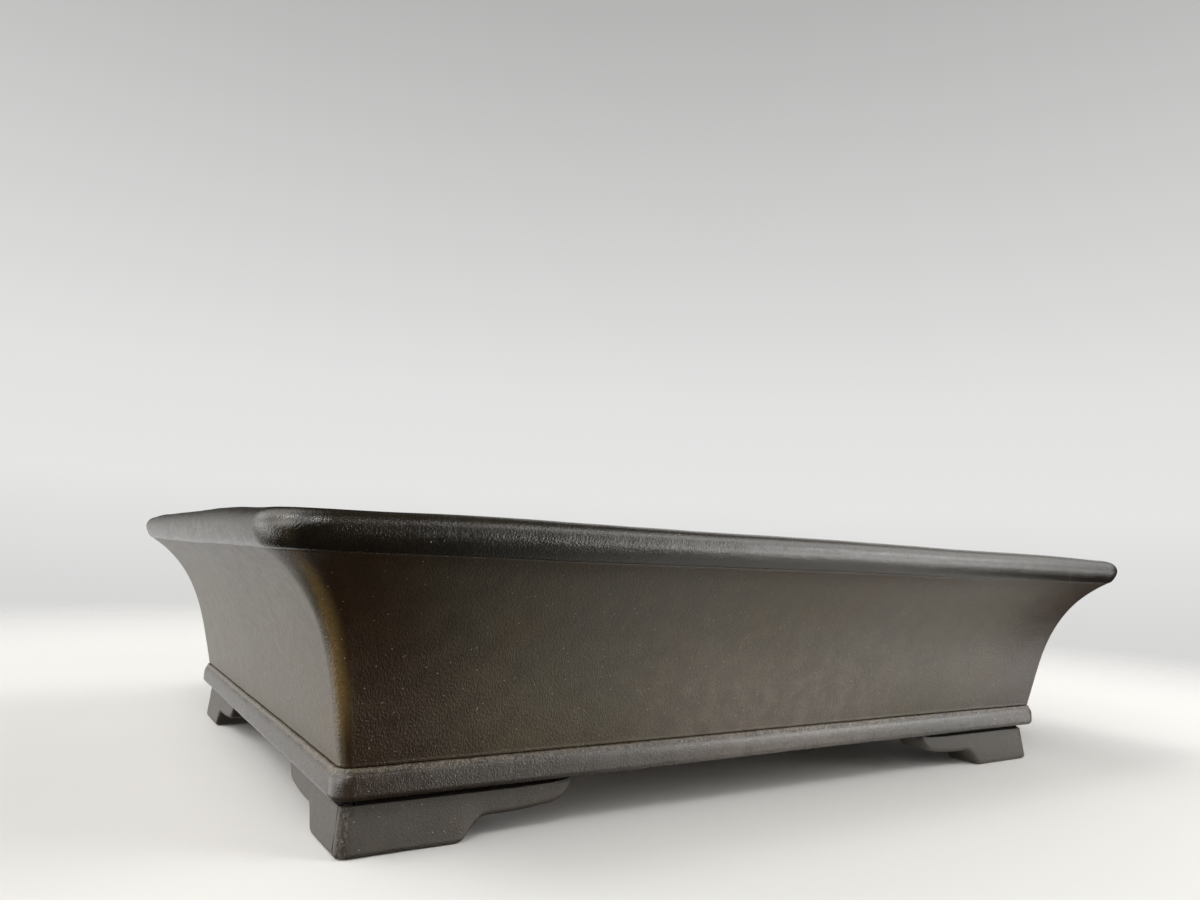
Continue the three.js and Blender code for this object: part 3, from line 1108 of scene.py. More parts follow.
@dataclass
class WallCourse(Course):
    """The walls: a slab that flares from the band out to the rim, with a tooled line at its foot
    and a coil of clay smoothed into the angle with the floor.

    Attributes:
        thickness: The wall's thickness.
        lower_pull: The pull on the foot of the flare's curve, as shares of its run and its rise.
        upper_pull: The pull on its head.
        flare: How far out the outer face is under the rim.
        tooled_depth: The depth of the tooled line.
        tooled_width: Its width.
        sunk: How far the outer face goes down behind the band's ledge.
        coil: How far the coil reaches over the floor.
        coil_rise: How steeply it starts down the wall.
        coil_run: How flat it ends on the floor.
        bedded: How far the wall's underside is let into what it stands on.
    """

    thickness: float = 9.0
    lower_pull: Point = (0.155, 0.366)
    upper_pull: Point = (0.252, 0.771)
    flare: float = 30.8
    tooled_depth: float = 0.13
    tooled_width: float = 0.40
    sunk: float = 1.0
    coil: float = 6.5
    coil_rise: float = 3.4
    coil_run: float = 4.2
    bedded: float = 0.35

    def face(self, foot: float, head: float, shares: Sequence[float]) -> Section:
        """One face of the wall.

        Args:
            foot: How far out it is at the foot.
            head: How far out it is under the rim.
            shares: Where along the curve its points are.

        Returns:
            The points, from the foot up.
        """
        low, high = self.plan.band_top, self.plan.rim_bottom
        pulls = [
            (foot + out * (head - foot), low + up * (high - low))
            for out, up in (self.lower_pull, self.upper_pull)
        ]
        return bezier((foot, low), *pulls, (head, high), shares)

    def corner(self, out: float, up: float) -> float:
        """The radius of the corners: that of the outer face, changing to the inside's in the wall.

        Args:
            out: The distance outward.
            up: The height.

        Returns:
            The radius.
        """
        outs, ups = zip(*self.face(0.0, self.flare, np.linspace(0, 1, 40)))
        depth = min(max((float(np.interp(up, ups, outs)) - out) / self.thickness, 0.0), 1.0)
        return self.plan.corner_radius(out) * (1 - depth) + self.plan.corner_inside * depth

    def section(self) -> Section:
        """The outer face with its tooled line, then the inner face and the coil at its foot.

        Returns:
            The closed outline of points (out, up).
        """
        low = self.plan.band_top
        line = low - self.sunk
        outer = [(0.0, up) for up in np.linspace(line, low, 9)[:-1]]
        outer += self.face(0.0, self.flare, [0.0, 0.02, *np.linspace(0.045, 1, 34)])
        tooled = [
            (out - self.tooled_depth * math.exp(-(((up - line) / self.tooled_width) ** 2)), up)
            for out, up in outer
        ]
        inner_head = self.plan.rim_face - self.plan.rim_breadth
        inner = self.face(-self.thickness, inner_head, np.linspace(1, 0.09, 30))
        toe = (-self.thickness - self.coil, low + 0.06)
        start = inner[-1]
        pulls = ((start[0], start[1] - self.coil_rise), (toe[0] + self.coil_run, toe[1]))
        coil = bezier(start, *pulls, toe, np.linspace(0, 1, 9))
        buried = line - self.bedded
        return [(-self.tooled_depth - 0.4, buried), *tooled, *inner, *coil[1:], (toe[0], buried)]


@dataclass
class RimCourse(Course):
    """The rim: a thick lip with a gently swelling face, a soft upper edge and a heel smoothed down
    over the inside of the wall."""

    def corner(self, out: float, up: float) -> float:
        """The radius of the corners, which stays easy inside."""
        return max(self.plan.corner_radius(out), self.plan.corner_inside)

    def section(self) -> Section:
        """The lip's face from below up, its top, and its inside down to the heel.

        Returns:
            The closed outline of points (out, up).
        """
        face, top, low = self.plan.rim_face, self.plan.top, self.plan.rim_bottom
        inside = face - self.plan.rim_breadth
        return through(
            [
                (face - 6.0, low - 1.0),
                (face - 4.1, low - 0.85),
                (face - 3.4, low - 0.6),
                (face - 2.8, low - 0.28),
                (face - 2.1, low + 0.45),
                (face - 1.38, low + 1.6),
                (face - 0.75, low + 2.95),
                (face - 0.28, low + 4.3),
                (face - 0.04, low + 5.6),
                (face - 0.08, low + 6.8),
                (face - 0.42, low + 8.0),
                (face - 1.05, low + 9.1),
                (face - 2.0, low + 10.0),
                (face - 3.3, low + 10.65),
                (face - 5.0, top),
                (face - 7.5, top + 0.05),
                (inside + 6.0, top - 0.05),
                (inside + 2.9, top - 0.18),
                (inside + 1.1, top - 0.95),
                (inside + 0.15, top - 2.6),
                (inside - 0.05, top - 5.2),
                (inside - 0.45, top - 8.0),
                (inside - 1.7, low + 0.2),
                (inside - 3.3, low - 2.0),
                (inside - 4.4, low - 3.6),
                (inside - 2.5, low - 3.2),
                (inside + 2.0, low - 1.0),
            ]
        )


@dataclass
class BandCourse(Course):
    """The band round the base, with a crumbly ledge above its rounded shoulder.

    Attributes:
        lower_radius: The rounding of its lower edge.
        shoulder: How far below its top the shoulder begins.
        ledge_depth: How far below its top the floor meets it.
    """

    lower_radius: float = 2.1
    shoulder: float = 6.2
    ledge_depth: float = 1.7

    def corner(self, out: float, up: float) -> float:
        """The radius of the corners."""
        return self.plan.band_radius(out)

    def section(self) -> Section:
        """The underside, the face, the shoulder and the ledge with the tooled line behind it.

        Returns:
            The closed outline of points (out, up).
        """
        face, low, top = self.plan.band_proud, self.plan.foot_height, self.plan.band_top
        seat = self.plan.seat
        lower = rounded(
            [
                (-seat, top - self.ledge_depth, 0.0),
                (-seat, low, self.plan.joint),
                (face, low, self.lower_radius),
                (face, top - self.shoulder, 0.0),
            ],
            steps=6,
        )
        ledge = through(
            [
                (face, top - self.shoulder),
                (face - 0.07, top - 5.1),
                (face - 0.24, top - 4.2),
                (face - 0.5, top - 3.5),
                (face - 0.82, top - 3.0),
                (face - 1.08, top - 2.72),
                (face - 1.2, top - 2.35),
                (face - 1.32, top - 1.9),
                (face - 1.55, top - 1.52),
                (face - 1.85, top - 1.36),
                (face - 2.1, top - 1.3),
                (face - 2.4, top - 1.35),
                (face - 2.8, top - 1.65),
            ]
        )
        return [*lower, *ledge[1:]]


class FootPlace(Enum):
    """Which corner a foot stands under, as the signs of X and Y."""

    FRONT_RIGHT = (1, -1)
    FRONT_LEFT = (-1, -1)
    BACK_LEFT = (-1, 1)
    BACK_RIGHT = (1, 1)

    @property
    def node(self) -> str:
        """The foot's name in the frame."""
        return f"foot_{self.name.lower()}"


@dataclass(frozen=True)
class Leg:
    """One leg of a bracket foot, from the foot's corner along: a flat sole, a cove that rolls off
    it and steps up, a slack run that rises a little, and the scroll's round up to the band.

    Attributes:
        flat: The length of the sole.
        cove: The length of the cove.
        cove_rise: How high it steps up.
        slack: The length of the slack run.
        slack_rise: How much it rises.
        scroll: The length of the scroll's round.
        cove_roll: Where the cove is steepest, as a share of its length.
        scroll_turn: How far the scroll's round turns.
        sag: How much the slack run sags.
    """

    flat: float
    cove: float
    cove_rise: float
    slack: float
    slack_rise: float
    scroll: float
    cove_roll: float = 0.42
    scroll_turn: float = math.radians(79)
    sag: float = 0.35

    def edge(self, height: float) -> Section:
        """The leg's lower edge.

        Args:
            height: The height of the foot.

        Returns:
            Points (distance from the corner, height), from the corner outward.
        """
        points: Section = [(self.flat * share, 0.0) for share in np.linspace(0.15, 0.93, 11)]
        start = self.flat + self.cove
        steepest = self.flat + self.cove * self.cove_roll
        pulls = ((steepest, 0.0), (steepest, self.cove_rise))
        points += bezier((self.flat, 0.0), *pulls, (start, self.cove_rise), np.linspace(0, 1, 13))
        for share in np.linspace(0, 1, 9)[1:-1]:
            sag = self.sag * math.sin(math.pi * share)
            up = self.cove_rise + self.slack_rise * share - sag
            points.append((start + self.slack * share, up))
        rise = height - self.cove_rise - self.slack_rise
        for turn in np.linspace(0, self.scroll_turn, 12):
            along = start + self.slack + self.scroll * math.sin(turn)
            points.append((along, height - rise * math.cos(turn)))
        return points


@dataclass
class Feet:
    """The four bracket feet, each an angle of two legs with battered faces and worn lower edges.

    Attributes:
        plan: The pot's plan.
        finish: Their finish.
        inset_below: How far in from the band's face the foot's face is at the sole.
        inset_above: The same at the top.
        thickness: The thickness of a leg at the top.
        corner_radius: The radius of the foot's corner.
        inner_radius: The radius of its corner inside.
        worn_radius: The rounding of the lower edge.
        back_radius: The same inside.
        joint_depth: How deep the open joint under the band is.
        joint_height: How high it is.
        joint_round: The rounding of its edge.
        let_in: How far the foot's top is let into the band.
        short_out: How much further out a short side's leg stands, at the sole and at the top.
        long_leg: The leg under a long side.
        short_leg: The leg under a short side.
        sharpest: The greatest angle that is shaded smooth, in degrees.
    """

    plan: PotPlan
    finish: Stoneware
    inset_below: float = 3.5
    inset_above: float = 6.0
    thickness: float = 14.0
    corner_radius: float = 3.0
    inner_radius: float = 2.0
    worn_radius: float = 1.7
    back_radius: float = 0.9
    joint_depth: float = 4.2
    joint_height: float = 2.5
    joint_round: float = 0.4
    let_in: float = 0.25
    short_out: Point = (0.5, 1.8)
    long_leg: Leg = Leg(
        flat=37.0, cove=11.3, cove_rise=7.0, slack=21.7, slack_rise=1.2, scroll=9.2
    )
    short_leg: Leg = Leg(
        flat=27.0, cove=8.5, cove_rise=7.2, slack=19.0, slack_rise=1.1, scroll=8.5
    )
    sharpest: float = 50.0

    def face(self, up: float) -> float:
        """How far out the foot's face is at a height."""
        batter = (self.inset_above - self.inset_below) * (up / self.plan.foot_height)
        return self.plan.band_proud - (self.inset_below + batter)

    def short_shift(self, up: float) -> float:
        """How much further out a short side's leg stands at a height."""
        low, high = self.short_out
        return low + (high - low) * up / self.plan.foot_height

    def section(self, underside: float) -> Section:
        """The foot's section where its lower edge is at a given height.

        Args:
            underside: The height of the lower edge.

        Returns:
            The closed outline of points (out, up), with as many points at every height.
        """
        top = self.plan.foot_height
        left = top - underside
        worn = min(self.worn_radius, left * 0.4)
        back_worn = min(self.back_radius, left * 0.3)
        joint = min(self.joint_height, left * 0.25)
        back = self.plan.band_proud - self.inset_above - self.thickness
        joint_back = self.face(top) - self.joint_depth
        return rounded(
            [
                (back, top + self.let_in, 0.0),
                (back, underside, back_worn),
                (self.face(underside), underside, worn),
                (self.face(top - joint), top - joint, min(self.joint_round, joint)),
                (joint_back, top - 0.3 * joint, 0.0),
                (joint_back, top + self.let_in, 0.0),
            ]
        )

    def solid(self) -> tuple[np.ndarray, list[Face], list[int]]:
        """The foot under the corner at +X and -Y.

        Returns:
            Its points, its faces, and the numbers of its flat faces.
        """
        length, width = self.plan.half_length, self.plan.half_width
        corner_x = length + self.face(0.0) + self.short_shift(0.0)
        corner_y = width + self.face(0.0)
        rows = []
        for along, height in reversed(self.long_leg.edge(self.plan.foot_height)):
            rows.append([(corner_x - along, -width - out, up) for out, up in self.section(height)])
        for turn in np.linspace(0, math.pi / 2, 15):
            row = []
            for out, up in self.section(0.0):
                depth = min(max((self.face(0.0) - out) / self.thickness, 0.0), 1.0)
                radius = self.corner_radius + (self.inner_radius - self.corner_radius) * depth
                x = length + out + self.short_shift(up) - radius + radius * math.sin(turn)
                y = width + out - radius + radius * math.cos(turn)
                row.append((x, -y, up))
            rows.append(row)
        for along, height in self.short_leg.edge(self.plan.foot_height):
            rows.append(
                [
                    (length + out + self.short_shift(up), -corner_y + along, up)
                    for out, up in self.section(height)
                ]
            )
        faces = loft_faces(len(rows), len(rows[0]))
        flat = [len(faces), len(faces) + 1]
        faces += end_faces(len(rows), len(rows[0]))
        return np.array(rows).reshape(-1, 3), faces, flat

    def build(self) -> None:
        """Makes the four feet."""
        points, faces, flat = self.solid()
        material = self.finish.material(self.plan)
        for place in FootPlace:
            sign_x, sign_y = place.value
            turned = points * (sign_x, -sign_y, 1)
            # A foot that is mirrored once has its faces turned over.
            mirrored = sign_x == sign_y
            own_faces = [face[::-1] for face in faces] if mirrored else faces
            worked = hand_worked(turned)
            worked[:, 2] = np.maximum(worked[:, 2], 0.0)
            made = make_piece(f"dressed_{place.node}", worked, own_faces, None, flat)
            made.data.set_sharp_from_angle(angle=math.radians(self.sharpest))
            dress(made, material, [place.node])


@dataclass(frozen=True)
class Hole:
    """A round hole through the floor.

    Attributes:
        x: Where its middle is along the pot.
        y: Where its middle is across the pot.
        radius: Its radius.
        edge: The rounding of its edges.
        cuts: How many points there are round it.
    """

    x: float
    y: float
    radius: float
    edge: float
    cuts: int

    def circle(self, radius: float) -> list[Point]:
        """Points round the hole at a radius."""
        turns = [2 * math.pi * i / self.cuts for i in range(self.cuts)]
        return [(self.x + radius * math.cos(t), self.y + radius * math.sin(t)) for t in turns]

    def is_clear(self, point: Sequence[float], margin: float) -> bool:
        """Whether a point is further from the hole's wall than a margin."""
        return math.hypot(point[0] - self.x, point[1] - self.y) > self.radius + margin


@dataclass
class Floor:
    """The floor: a slab with two drain holes and four holes for tie wires, with softened edges.

    Attributes:
        plan: The pot's plan.
        finish: Its finish.
        drain_radius: The radius of a drain hole.
        drain_edge: The rounding of its edges.
        tie_radius: The radius of a tie hole.
        tie_edge: The rounding of its edges.
        tie_along: How far along the tie holes are from the pot's middle.
        tie_across: How far across they are.
        grid: How far apart the points within its faces are.
        grid_border: How far they stay from its outer edge.
        grid_clear: How far they stay from the rounding of a hole.
        sharpest: The greatest angle that is shaded smooth, in degrees.
    """

    plan: PotPlan
    finish: Stoneware
    drain_radius: float = 18.0
    drain_edge: float = 1.4
    tie_radius: float = 2.75
    tie_edge: float = 0.6
    tie_along: float = 60.0
    tie_across: float = 62.0
    grid: float = 9.0
    grid_border: float = 6.0
    grid_clear: float = 2.5
    sharpest: float = 60.0

    def holes(self) -> list[Hole]:
        """Lays out the floor's holes.

        Returns:
            The two drain holes, then the four tie holes.
        """
        drains = [
            Hole(end * self.plan.drain_from_middle, 0.0, self.drain_radius, self.drain_edge, 64)
            for end in (-1, 1)
        ]
        ties = [
            Hole(end * self.tie_along, edge * self.tie_across, self.tie_radius, self.tie_edge, 24)
            for end in (-1, 1)
            for edge in (-1, 1)
        ]
        return drains + ties

    def build(self) -> None:
        """Makes the floor: its top and underside, then the rounded edge of each of their loops."""
        low, top = self.plan.foot_height, self.plan.band_top
        holes = self.holes()
        rings = [self._rings(hole) for hole in (None, *holes)]
        plate, triangles = self._plate([self._loop(hole) for hole in (None, *holes)], holes)
        count = len(plate)
        points = [np.column_stack([plate, np.full(count, height)]) for height in (top, low)]
        faces = [tuple(t) for t in triangles]
        faces += [tuple(count + i for i in t[::-1]) for t in triangles]
        total, start = 2 * count, 0
        for number, own in enumerate(rings):
            size = len(own[0])
            chain = [start, *(total + i * size for i in range(len(own))), count + start]
            points += [np.array(ring) for ring in own]
            total += size * len(own)
            for a, b in zip(chain, chain[1:]):
                for i in range(size):
                    j = (i + 1) % size
                    face = (a + i, b + i, b + j, a + j)
                    faces.append(face if number == 0 else face[::-1])
            start += size
        worked = hand_worked(np.concatenate(points))
        piece = make_piece("dressed_floor_slab", worked, faces)
        piece.data.set_sharp_from_angle(angle=math.radians(self.sharpest))
        dress(piece, self.finish.material(self.plan), ["floor_slab"])

    def _loop(self, hole: Hole | None, towards_gap: float = 0.0) -> list[Point]:
        """The edge of the slab's flat faces, or a ring of the rounding beside it.

        Args:
            hole: The hole round which it goes, or None for the slab's outer edge.
            towards_gap: How far it is from the flat faces.

        Returns:
            Its points in plan.
        """
        if hole:
            return hole.circle(hole.radius + hole.edge - towards_gap)
        out = -self.plan.seat - self.plan.joint + towards_gap
        radius = self.plan.band_radius(out)
        return [place[:2] for side in Side for place in self.plan.side_row(side, out, 0.0, radius)]

    def _rings(self, hole: Hole | None) -> list[list[Place]]:
        """The rings of the rounded edge between the floor's top and its underside.

        Args:
            hole: The hole whose edge it is, or None for the slab's outer edge.

        Returns:
            The rings between the two faces, from the top down.
        """
        low, top = self.plan.foot_height, self.plan.band_top
        radius = hole.edge if hole else self.plan.joint
        turns = np.linspace(0, math.pi / 2, 6)[1:]
        upper = [(radius * math.sin(t), top - radius * (1 - math.cos(t))) for t in turns]
        lower = [(out, low + top - height) for out, height in reversed(upper)]
        return [
            [(*place, height) for place in self._loop(hole, out)] for out, height in upper + lower
        ]

    def _plate(
        self, loops: Sequence[Sequence[Point]], holes: Sequence[Hole]
    ) -> tuple[np.ndarray, list[Face]]:
        """Fills the slab's flat face with triangles.

        Args:
            loops: Its outer edge and the edges of its holes.
            holes: The holes.

        Returns:
            Its points in plan, with those of the loops first, and its triangles.
        """
        places = [Vector(p) for loop in loops for p in loop]
        places += [Vector(p) for p in self._grid_points(holes)]
        edges = []
        start = 0
        for loop in loops:
            edges += [(start + i, start + (i + 1) % len(loop)) for i in range(len(loop))]
            start += len(loop)
        made = geometry.delaunay_2d_cdt(places, edges, [], 0, 1e-4)
        plate = np.array([tuple(p) for p in made[0]])
        middles = [plate[list(t)].mean(axis=0) for t in made[2]]
        clay = [all(h.is_clear(middle, 0.5 * h.edge) for h in holes) for middle in middles]
        return plate, [tuple(t) for t, is_clay in zip(made[2], clay) if is_clay]

    def _grid_points(self, holes: Sequence[Hole]) -> list[Point]:
        """Points inside the slab, so that its faces can be uneven.

        Args:
            holes: The holes that they keep clear of.

        Returns:
            The points.
        """
        half_x = self.plan.half_length - self.plan.seat - self.grid_border
        half_y = self.plan.half_width - self.plan.seat - self.grid_border
        points = []
        for x in np.arange(-half_x, half_x + 0.01, 2 * half_x / round(2 * half_x / self.grid)):
            for y in np.arange(-half_y, half_y + 0.01, 2 * half_y / round(2 * half_y / self.grid)):
                if all(hole.is_clear((x, y), hole.edge + self.grid_clear) for hole in holes):
                    points.append((x, y))
        return points


@dataclass
class DrainScreens:
    """The two squares of moulded net over the drain holes, their corners curling up a little.

    Attributes:
        plan: The pot's plan.
        finish: Their finish.
        gaps: How many gaps there are each way.
        pitch: How far apart the bars are.
        bar: The breadth of a bar.
        thickness: The thickness of the net.
        curl: How far the corners curl up.
        lift: How far the net lies above the floor.
        worn: The rounding of its edges.
    """

    plan: PotPlan
    finish: NetPlastic
    gaps: int = 7
    pitch: float = 6.5
    bar: float = 1.8
    thickness: float = 1.2
    curl: float = 0.7
    lift: float = 0.02
    worn: float = 0.38

    def solid(self) -> tuple[np.ndarray, list[Face]]:
        """The net round the origin, lying on its underside.

        Returns:
            Its points and faces.
        """
        lines = []
        for number in range(self.gaps + 1):
            start = (number - self.gaps / 2) * self.pitch - self.bar / 2
            lines += [start, start + self.bar]
        cells = len(lines) - 1
        levels = (0.0, self.thickness)
        points = np.array([(x, y, z) for z in levels for y in lines for x in lines])
        reach = lines[-1]
        points[:, 2] += self.curl * (np.abs(points[:, 0] * points[:, 1]) / reach**2) ** 2

        def at(x: int, y: int, level: int) -> int:
            """The number of a point."""
            return (level * len(lines) + y) * len(lines) + x

        def is_bar(x: int, y: int) -> bool:
            """Whether a cell is plastic."""
            return 0 <= x < cells and 0 <= y < cells and not (x % 2 == 1 and y % 2 == 1)

        faces: list[Face] = []
        for x in range(cells):
            for y in range(cells):
                if not is_bar(x, y):
                    continue
                faces.append((at(x, y, 1), at(x + 1, y, 1), at(x + 1, y + 1, 1), at(x, y + 1, 1)))
                faces.append((at(x, y, 0), at(x, y + 1, 0), at(x + 1, y + 1, 0), at(x + 1, y, 0)))
                sides = (
                    ((x, y - 1), (x, y), (x + 1, y)),
                    ((x + 1, y), (x + 1, y), (x + 1, y + 1)),
                    ((x, y + 1), (x + 1, y + 1), (x, y + 1)),
                    ((x - 1, y), (x, y + 1), (x, y)),
                )
                for neighbour, a, b in sides:
                    if not is_bar(*neighbour):
                        faces.append((at(*a, 0), at(*b, 0), at(*b, 1), at(*a, 1)))
        return points, faces

    def build(self) -> None:
        """Makes both nets, with their edges rounded."""
        points, faces = self.solid()
        used = sorted({i for face in faces for i in face})
        number = {old: new for new, old in enumerate(used)}
        faces = [tuple(number[i] for i in face) for face in faces]
        material = self.finish.material()
        for word, end in (("left", -1), ("right", 1)):
            lifted = self.plan.band_top + self.lift
            placed = points[used] + (end * self.plan.drain_from_middle, 0.0, lifted)
            made = make_piece(f"dressed_drain_screen_{word}", placed, faces)
            bevel = made.modifiers.new("worn_edges", "BEVEL")
            bevel.width = self.worn * METRES
            bevel.segments = 2
            bevel.limit_method = "ANGLE"
            dress(made, material, [f"drain_screen_{word}"])


@dataclass
class ScreenClips:
    """The two staples of wire that hold the nets: over the net, down through the drain hole, and
    turned out under the floor.

    Attributes:
        plan: The pot's plan.
        finish: Their finish.
        wire_radius: The radius of the wire.
        leg: How far a leg is from the hole's middle.
        bend: The radius of a bend.
        tail: How far out a tail reaches.
        above: How high the wire lies above the floor's top.
        below: How far under it the tails lie.
        sides: How many points there are round the wire.
        sharpest: The greatest angle that is shaded smooth, in degrees.
    """

    plan: PotPlan
    finish: ClipWire
    wire_radius: float = 0.75
    leg: float = 13.0
    bend: float = 2.4
    tail: float = 22.0
    above: float = 2.25
    below: float = 11.55
    sides: int = 14
    sharpest: float = 50.0

    def line(self) -> np.ndarray:
        """The wire's centre line, round the middle of the floor's top.

        Returns:
            Points in order.
        """
        corners = [
            (-self.tail, -self.below, 0.0),
            (-self.leg, -self.below, self.bend),
            (-self.leg, self.above, self.bend),
            (self.leg, self.above, self.bend),
            (self.leg, -self.below, self.bend),
            (self.tail, -self.below, 0.0),
        ]
        return np.array([(x, 0.0, z) for x, z in rounded(corners, steps=8)])

    def build(self) -> None:
        """Makes both clips."""
        line = self.line()
        ahead = np.gradient(line, axis=0)
        ahead /= np.linalg.norm(ahead, axis=1, keepdims=True)
        sideways = np.array((0.0, 1.0, 0.0))
        turns = np.linspace(0, 2 * math.pi, self.sides, endpoint=False)
        points = []
        for point, direction in zip(line, ahead):
            across = np.cross(direction, sideways)
            for turn in turns:
                spoke = math.cos(turn) * sideways + math.sin(turn) * across
                points.append(point + self.wire_radius * spoke)
        faces = loft_faces(len(line), self.sides)
        flat = [len(faces), len(faces) + 1]
        faces += end_faces(len(line), self.sides)
        material = self.finish.material()
        for word, end in (("left", -1), ("right", 1)):
            placed = np.array(points) + (end * self.plan.drain_from_middle, 0.0, self.plan.band_top)
            made = make_piece(f"dressed_screen_clip_{word}", placed, faces, None, flat)
            made.data.set_sharp_from_angle(angle=math.radians(self.sharpest))
            dress(made, material, [f"screen_clip_{word}"])


@dataclass(frozen=True)
class Glow:
    """A soft bright part of the room.

    Attributes:
        azimuth: Its direction from the pot in plan, in degrees.
        elevation: How high it is, in degrees.
        spread: How far from its middle it reaches, in degrees.
        strength: How bright its middle is.
        core: How far from its middle it is that bright, in degrees.
    """

    azimuth: float
    elevation: float
    spread: float
    strength: float
    core: float = 4.0

    def light(self, tree: ShaderTree, direction: Signal) -> Signal:
        """The part's light in a direction.

        Args:
            tree: The world's tree.
            direction: The direction looked in.

        Returns:
            The light, which fades out towards the part's edge.
        """
        around, rise = math.radians(self.azimuth), math.radians(self.elevation)
        out = math.cos(rise)
        middle = (out * math.cos(around), out * math.sin(around), math.sin(rise))
        edge, core = (math.cos(math.radians(angle)) for angle in (self.spread, self.core))
        return tree.dot(direction, middle).step(edge, core) * self.strength


@dataclass(frozen=True)
class Panel:
    """A soft lamp, as a lit rectangle. Its sizes are in metres.

    Attributes:
        name: Its name.
        place: Where it is.
        target: What it points at.
        size: Its width and height.
        power: Its power in watts.
    """

    name: str
    place: Place
    target: Place
    size: Point
    power: float

    def build(self) -> None:
        """Makes the lamp."""
        lamp = bpy.data.lights.new(self.name, "AREA")
        lamp.shape = "RECTANGLE"
        lamp.size, lamp.size_y = self.size
        lamp.energy = self.power
        made = bpy.data.objects.new(self.name, lamp)
        made.location = self.place
        ahead = Vector(self.target) - Vector(self.place)
        made.rotation_euler = ahead.to_track_quat("-Z", "Y").to_euler()
        bpy.context.scene.collection.objects.link(made)


@dataclass(frozen=True)
class Studio:
    """The pale floor, the soft light and the camera. Its sizes are in metres.

    Attributes:
        floor_colour: The floor's colour.
        floor_roughness: Its roughness.
        floor_reach: Its radius.
        floor_cuts: How many points there are round it.
        floor_fade: Where it fades into the backdrop, from none to full.
        cloth_fade: Where the part that throws light back fades out, as a cloth on a small table.
        cloth_shift: How far that part is moved for its middle to be the pot's.
        glows: The bright parts of the room.
        least_light: The light of the rest of the room.
        light_colour: The colour of the room's light.
        backdrop: The greys of the backdrop, from straight down at 0 to straight up at 1.
        backdrop_tint: How much blue there is in them.
        window: The one lamp.
        lens: The camera's focal length in millimetres.
        sensor: The width of its sensor in millimetres.
        nearest: The least distance at which it sees.
        camera_place: Where it is.
        camera_right: Its direction to the right.
        camera_down: Its direction down.
        camera_ahead: Its direction ahead.
    """

    floor_colour: Colour = (0.82, 0.815, 0.80)
    floor_roughness: float = 0.9
    floor_reach: float = 1.2
    floor_cuts: int = 96
    floor_fade: Point = (0.42, 1.0)
    cloth_fade: Point = (0.11, 0.25)
    cloth_shift: Place = (-0.10, 0.10, 0.0)
    glows: tuple[Glow, ...] = (
        Glow(azimuth=90, elevation=-18, spread=30, strength=0.9),
        Glow(azimuth=150, elevation=-12, spread=32, strength=2.6),
        Glow(azimuth=190, elevation=12, spread=32, strength=3.3),
        Glow(azimuth=130, elevation=12, spread=32, strength=1.3),
        Glow(azimuth=40, elevation=12, spread=32, strength=1.1),
        Glow(azimuth=-43, elevation=-12, spread=16, strength=6.2),
        Glow(azimuth=-30, elevation=-10, spread=14, strength=1.1),
        Glow(azimuth=-42, elevation=10, spread=20, strength=2.4),
        Glow(azimuth=-41, elevation=42, spread=17, strength=2.9),
        Glow(azimuth=-117, elevation=50, spread=5, strength=20.0),
        Glow(azimuth=-15, elevation=35, spread=26, strength=2.1),
        Glow(azimuth=135, elevation=45, spread=40, strength=1.5),
        Glow(azimuth=225, elevation=45, spread=40, strength=1.5),
        Glow(azimuth=175, elevation=50, spread=11, strength=9.0),
    )
    least_light: float = 0.02
    light_colour: Colour = (1.0, 0.985, 0.96)
    backdrop: tuple[Point, ...] = (
        (0.30, 0.56),
        (0.42, 0.60),
        (0.53, 0.785),
        (0.59, 0.76),
        (0.695, 0.60),
        (0.78, 0.46),
    )
    backdrop_tint: float = 0.993
    window: Panel = Panel(
        name="side_window",
        place=(0.77, -0.72, 0.34),
        target=(0.05, -0.12, 0.07),
        size=(0.40, 0.34),
        power=1.8,
    )
    lens: float = 25.856
    sensor: float = 36.0
    nearest: float = 0.01
    camera_place: Place = (-0.25207, -0.37040, 0.09113)
    camera_right: Place = (0.8386, -0.5428, 0.0471)
    camera_down: Place = (0.1040, 0.0746, -0.9918)
    camera_ahead: Place = (0.5348, 0.8366, 0.1190)

    def build(self) -> None:
        """Makes the floor, the world, the lamp and the camera."""
        self._floor()
        self._world()
        self.window.build()
        self._camera()

    def _floor(self) -> None:
        """Makes the pale floor, which fades into the backdrop's colour far off, throws light back
        onto the pot only from close by, and is clear seen from below."""
        turns = np.linspace(0, 2 * math.pi, self.floor_cuts, endpoint=False)
        reach = self.floor_reach
        edge = [(reach * math.cos(turn), reach * math.sin(turn), 0.0) for turn in turns]
        mesh = bpy.data.meshes.new("pale_floor")
        mesh.from_pydata(edge, [], [list(range(self.floor_cuts))])
        floor = bpy.data.objects.new("pale_floor", mesh)
        bpy.context.scene.collection.objects.link(floor)
        material = bpy.data.materials.new("pale_floor")
        tree = ShaderTree(material)
        place = tree.place()
        seen = tree.length(place).step(*self.floor_fade)
        lit = tree.length(tree.stretched(place, (1, 1, 1), self.cloth_shift)).step(*self.cloth_fade)
        camera_ray = tree.output(tree.node("ShaderNodeLightPath"), "Is Camera Ray")
        below = tree.output(tree.node("ShaderNodeNewGeometry"), "Backfacing")
        look = {"Base Color": self.floor_colour, "Roughness": self.floor_roughness}
        cloth = tree.output(tree.node("ShaderNodeBsdfPrincipled", {}, look))
        clear = tree.output(tree.node("ShaderNodeBsdfTransparent"))
        share = camera_ray * (seen + below - lit) + lit
        mixed = tree.node("ShaderNodeMixShader", {}, {0: share, 1: cloth, 2: clear})
        tree.finish(tree.output(mixed))
        mesh.materials.append(material)

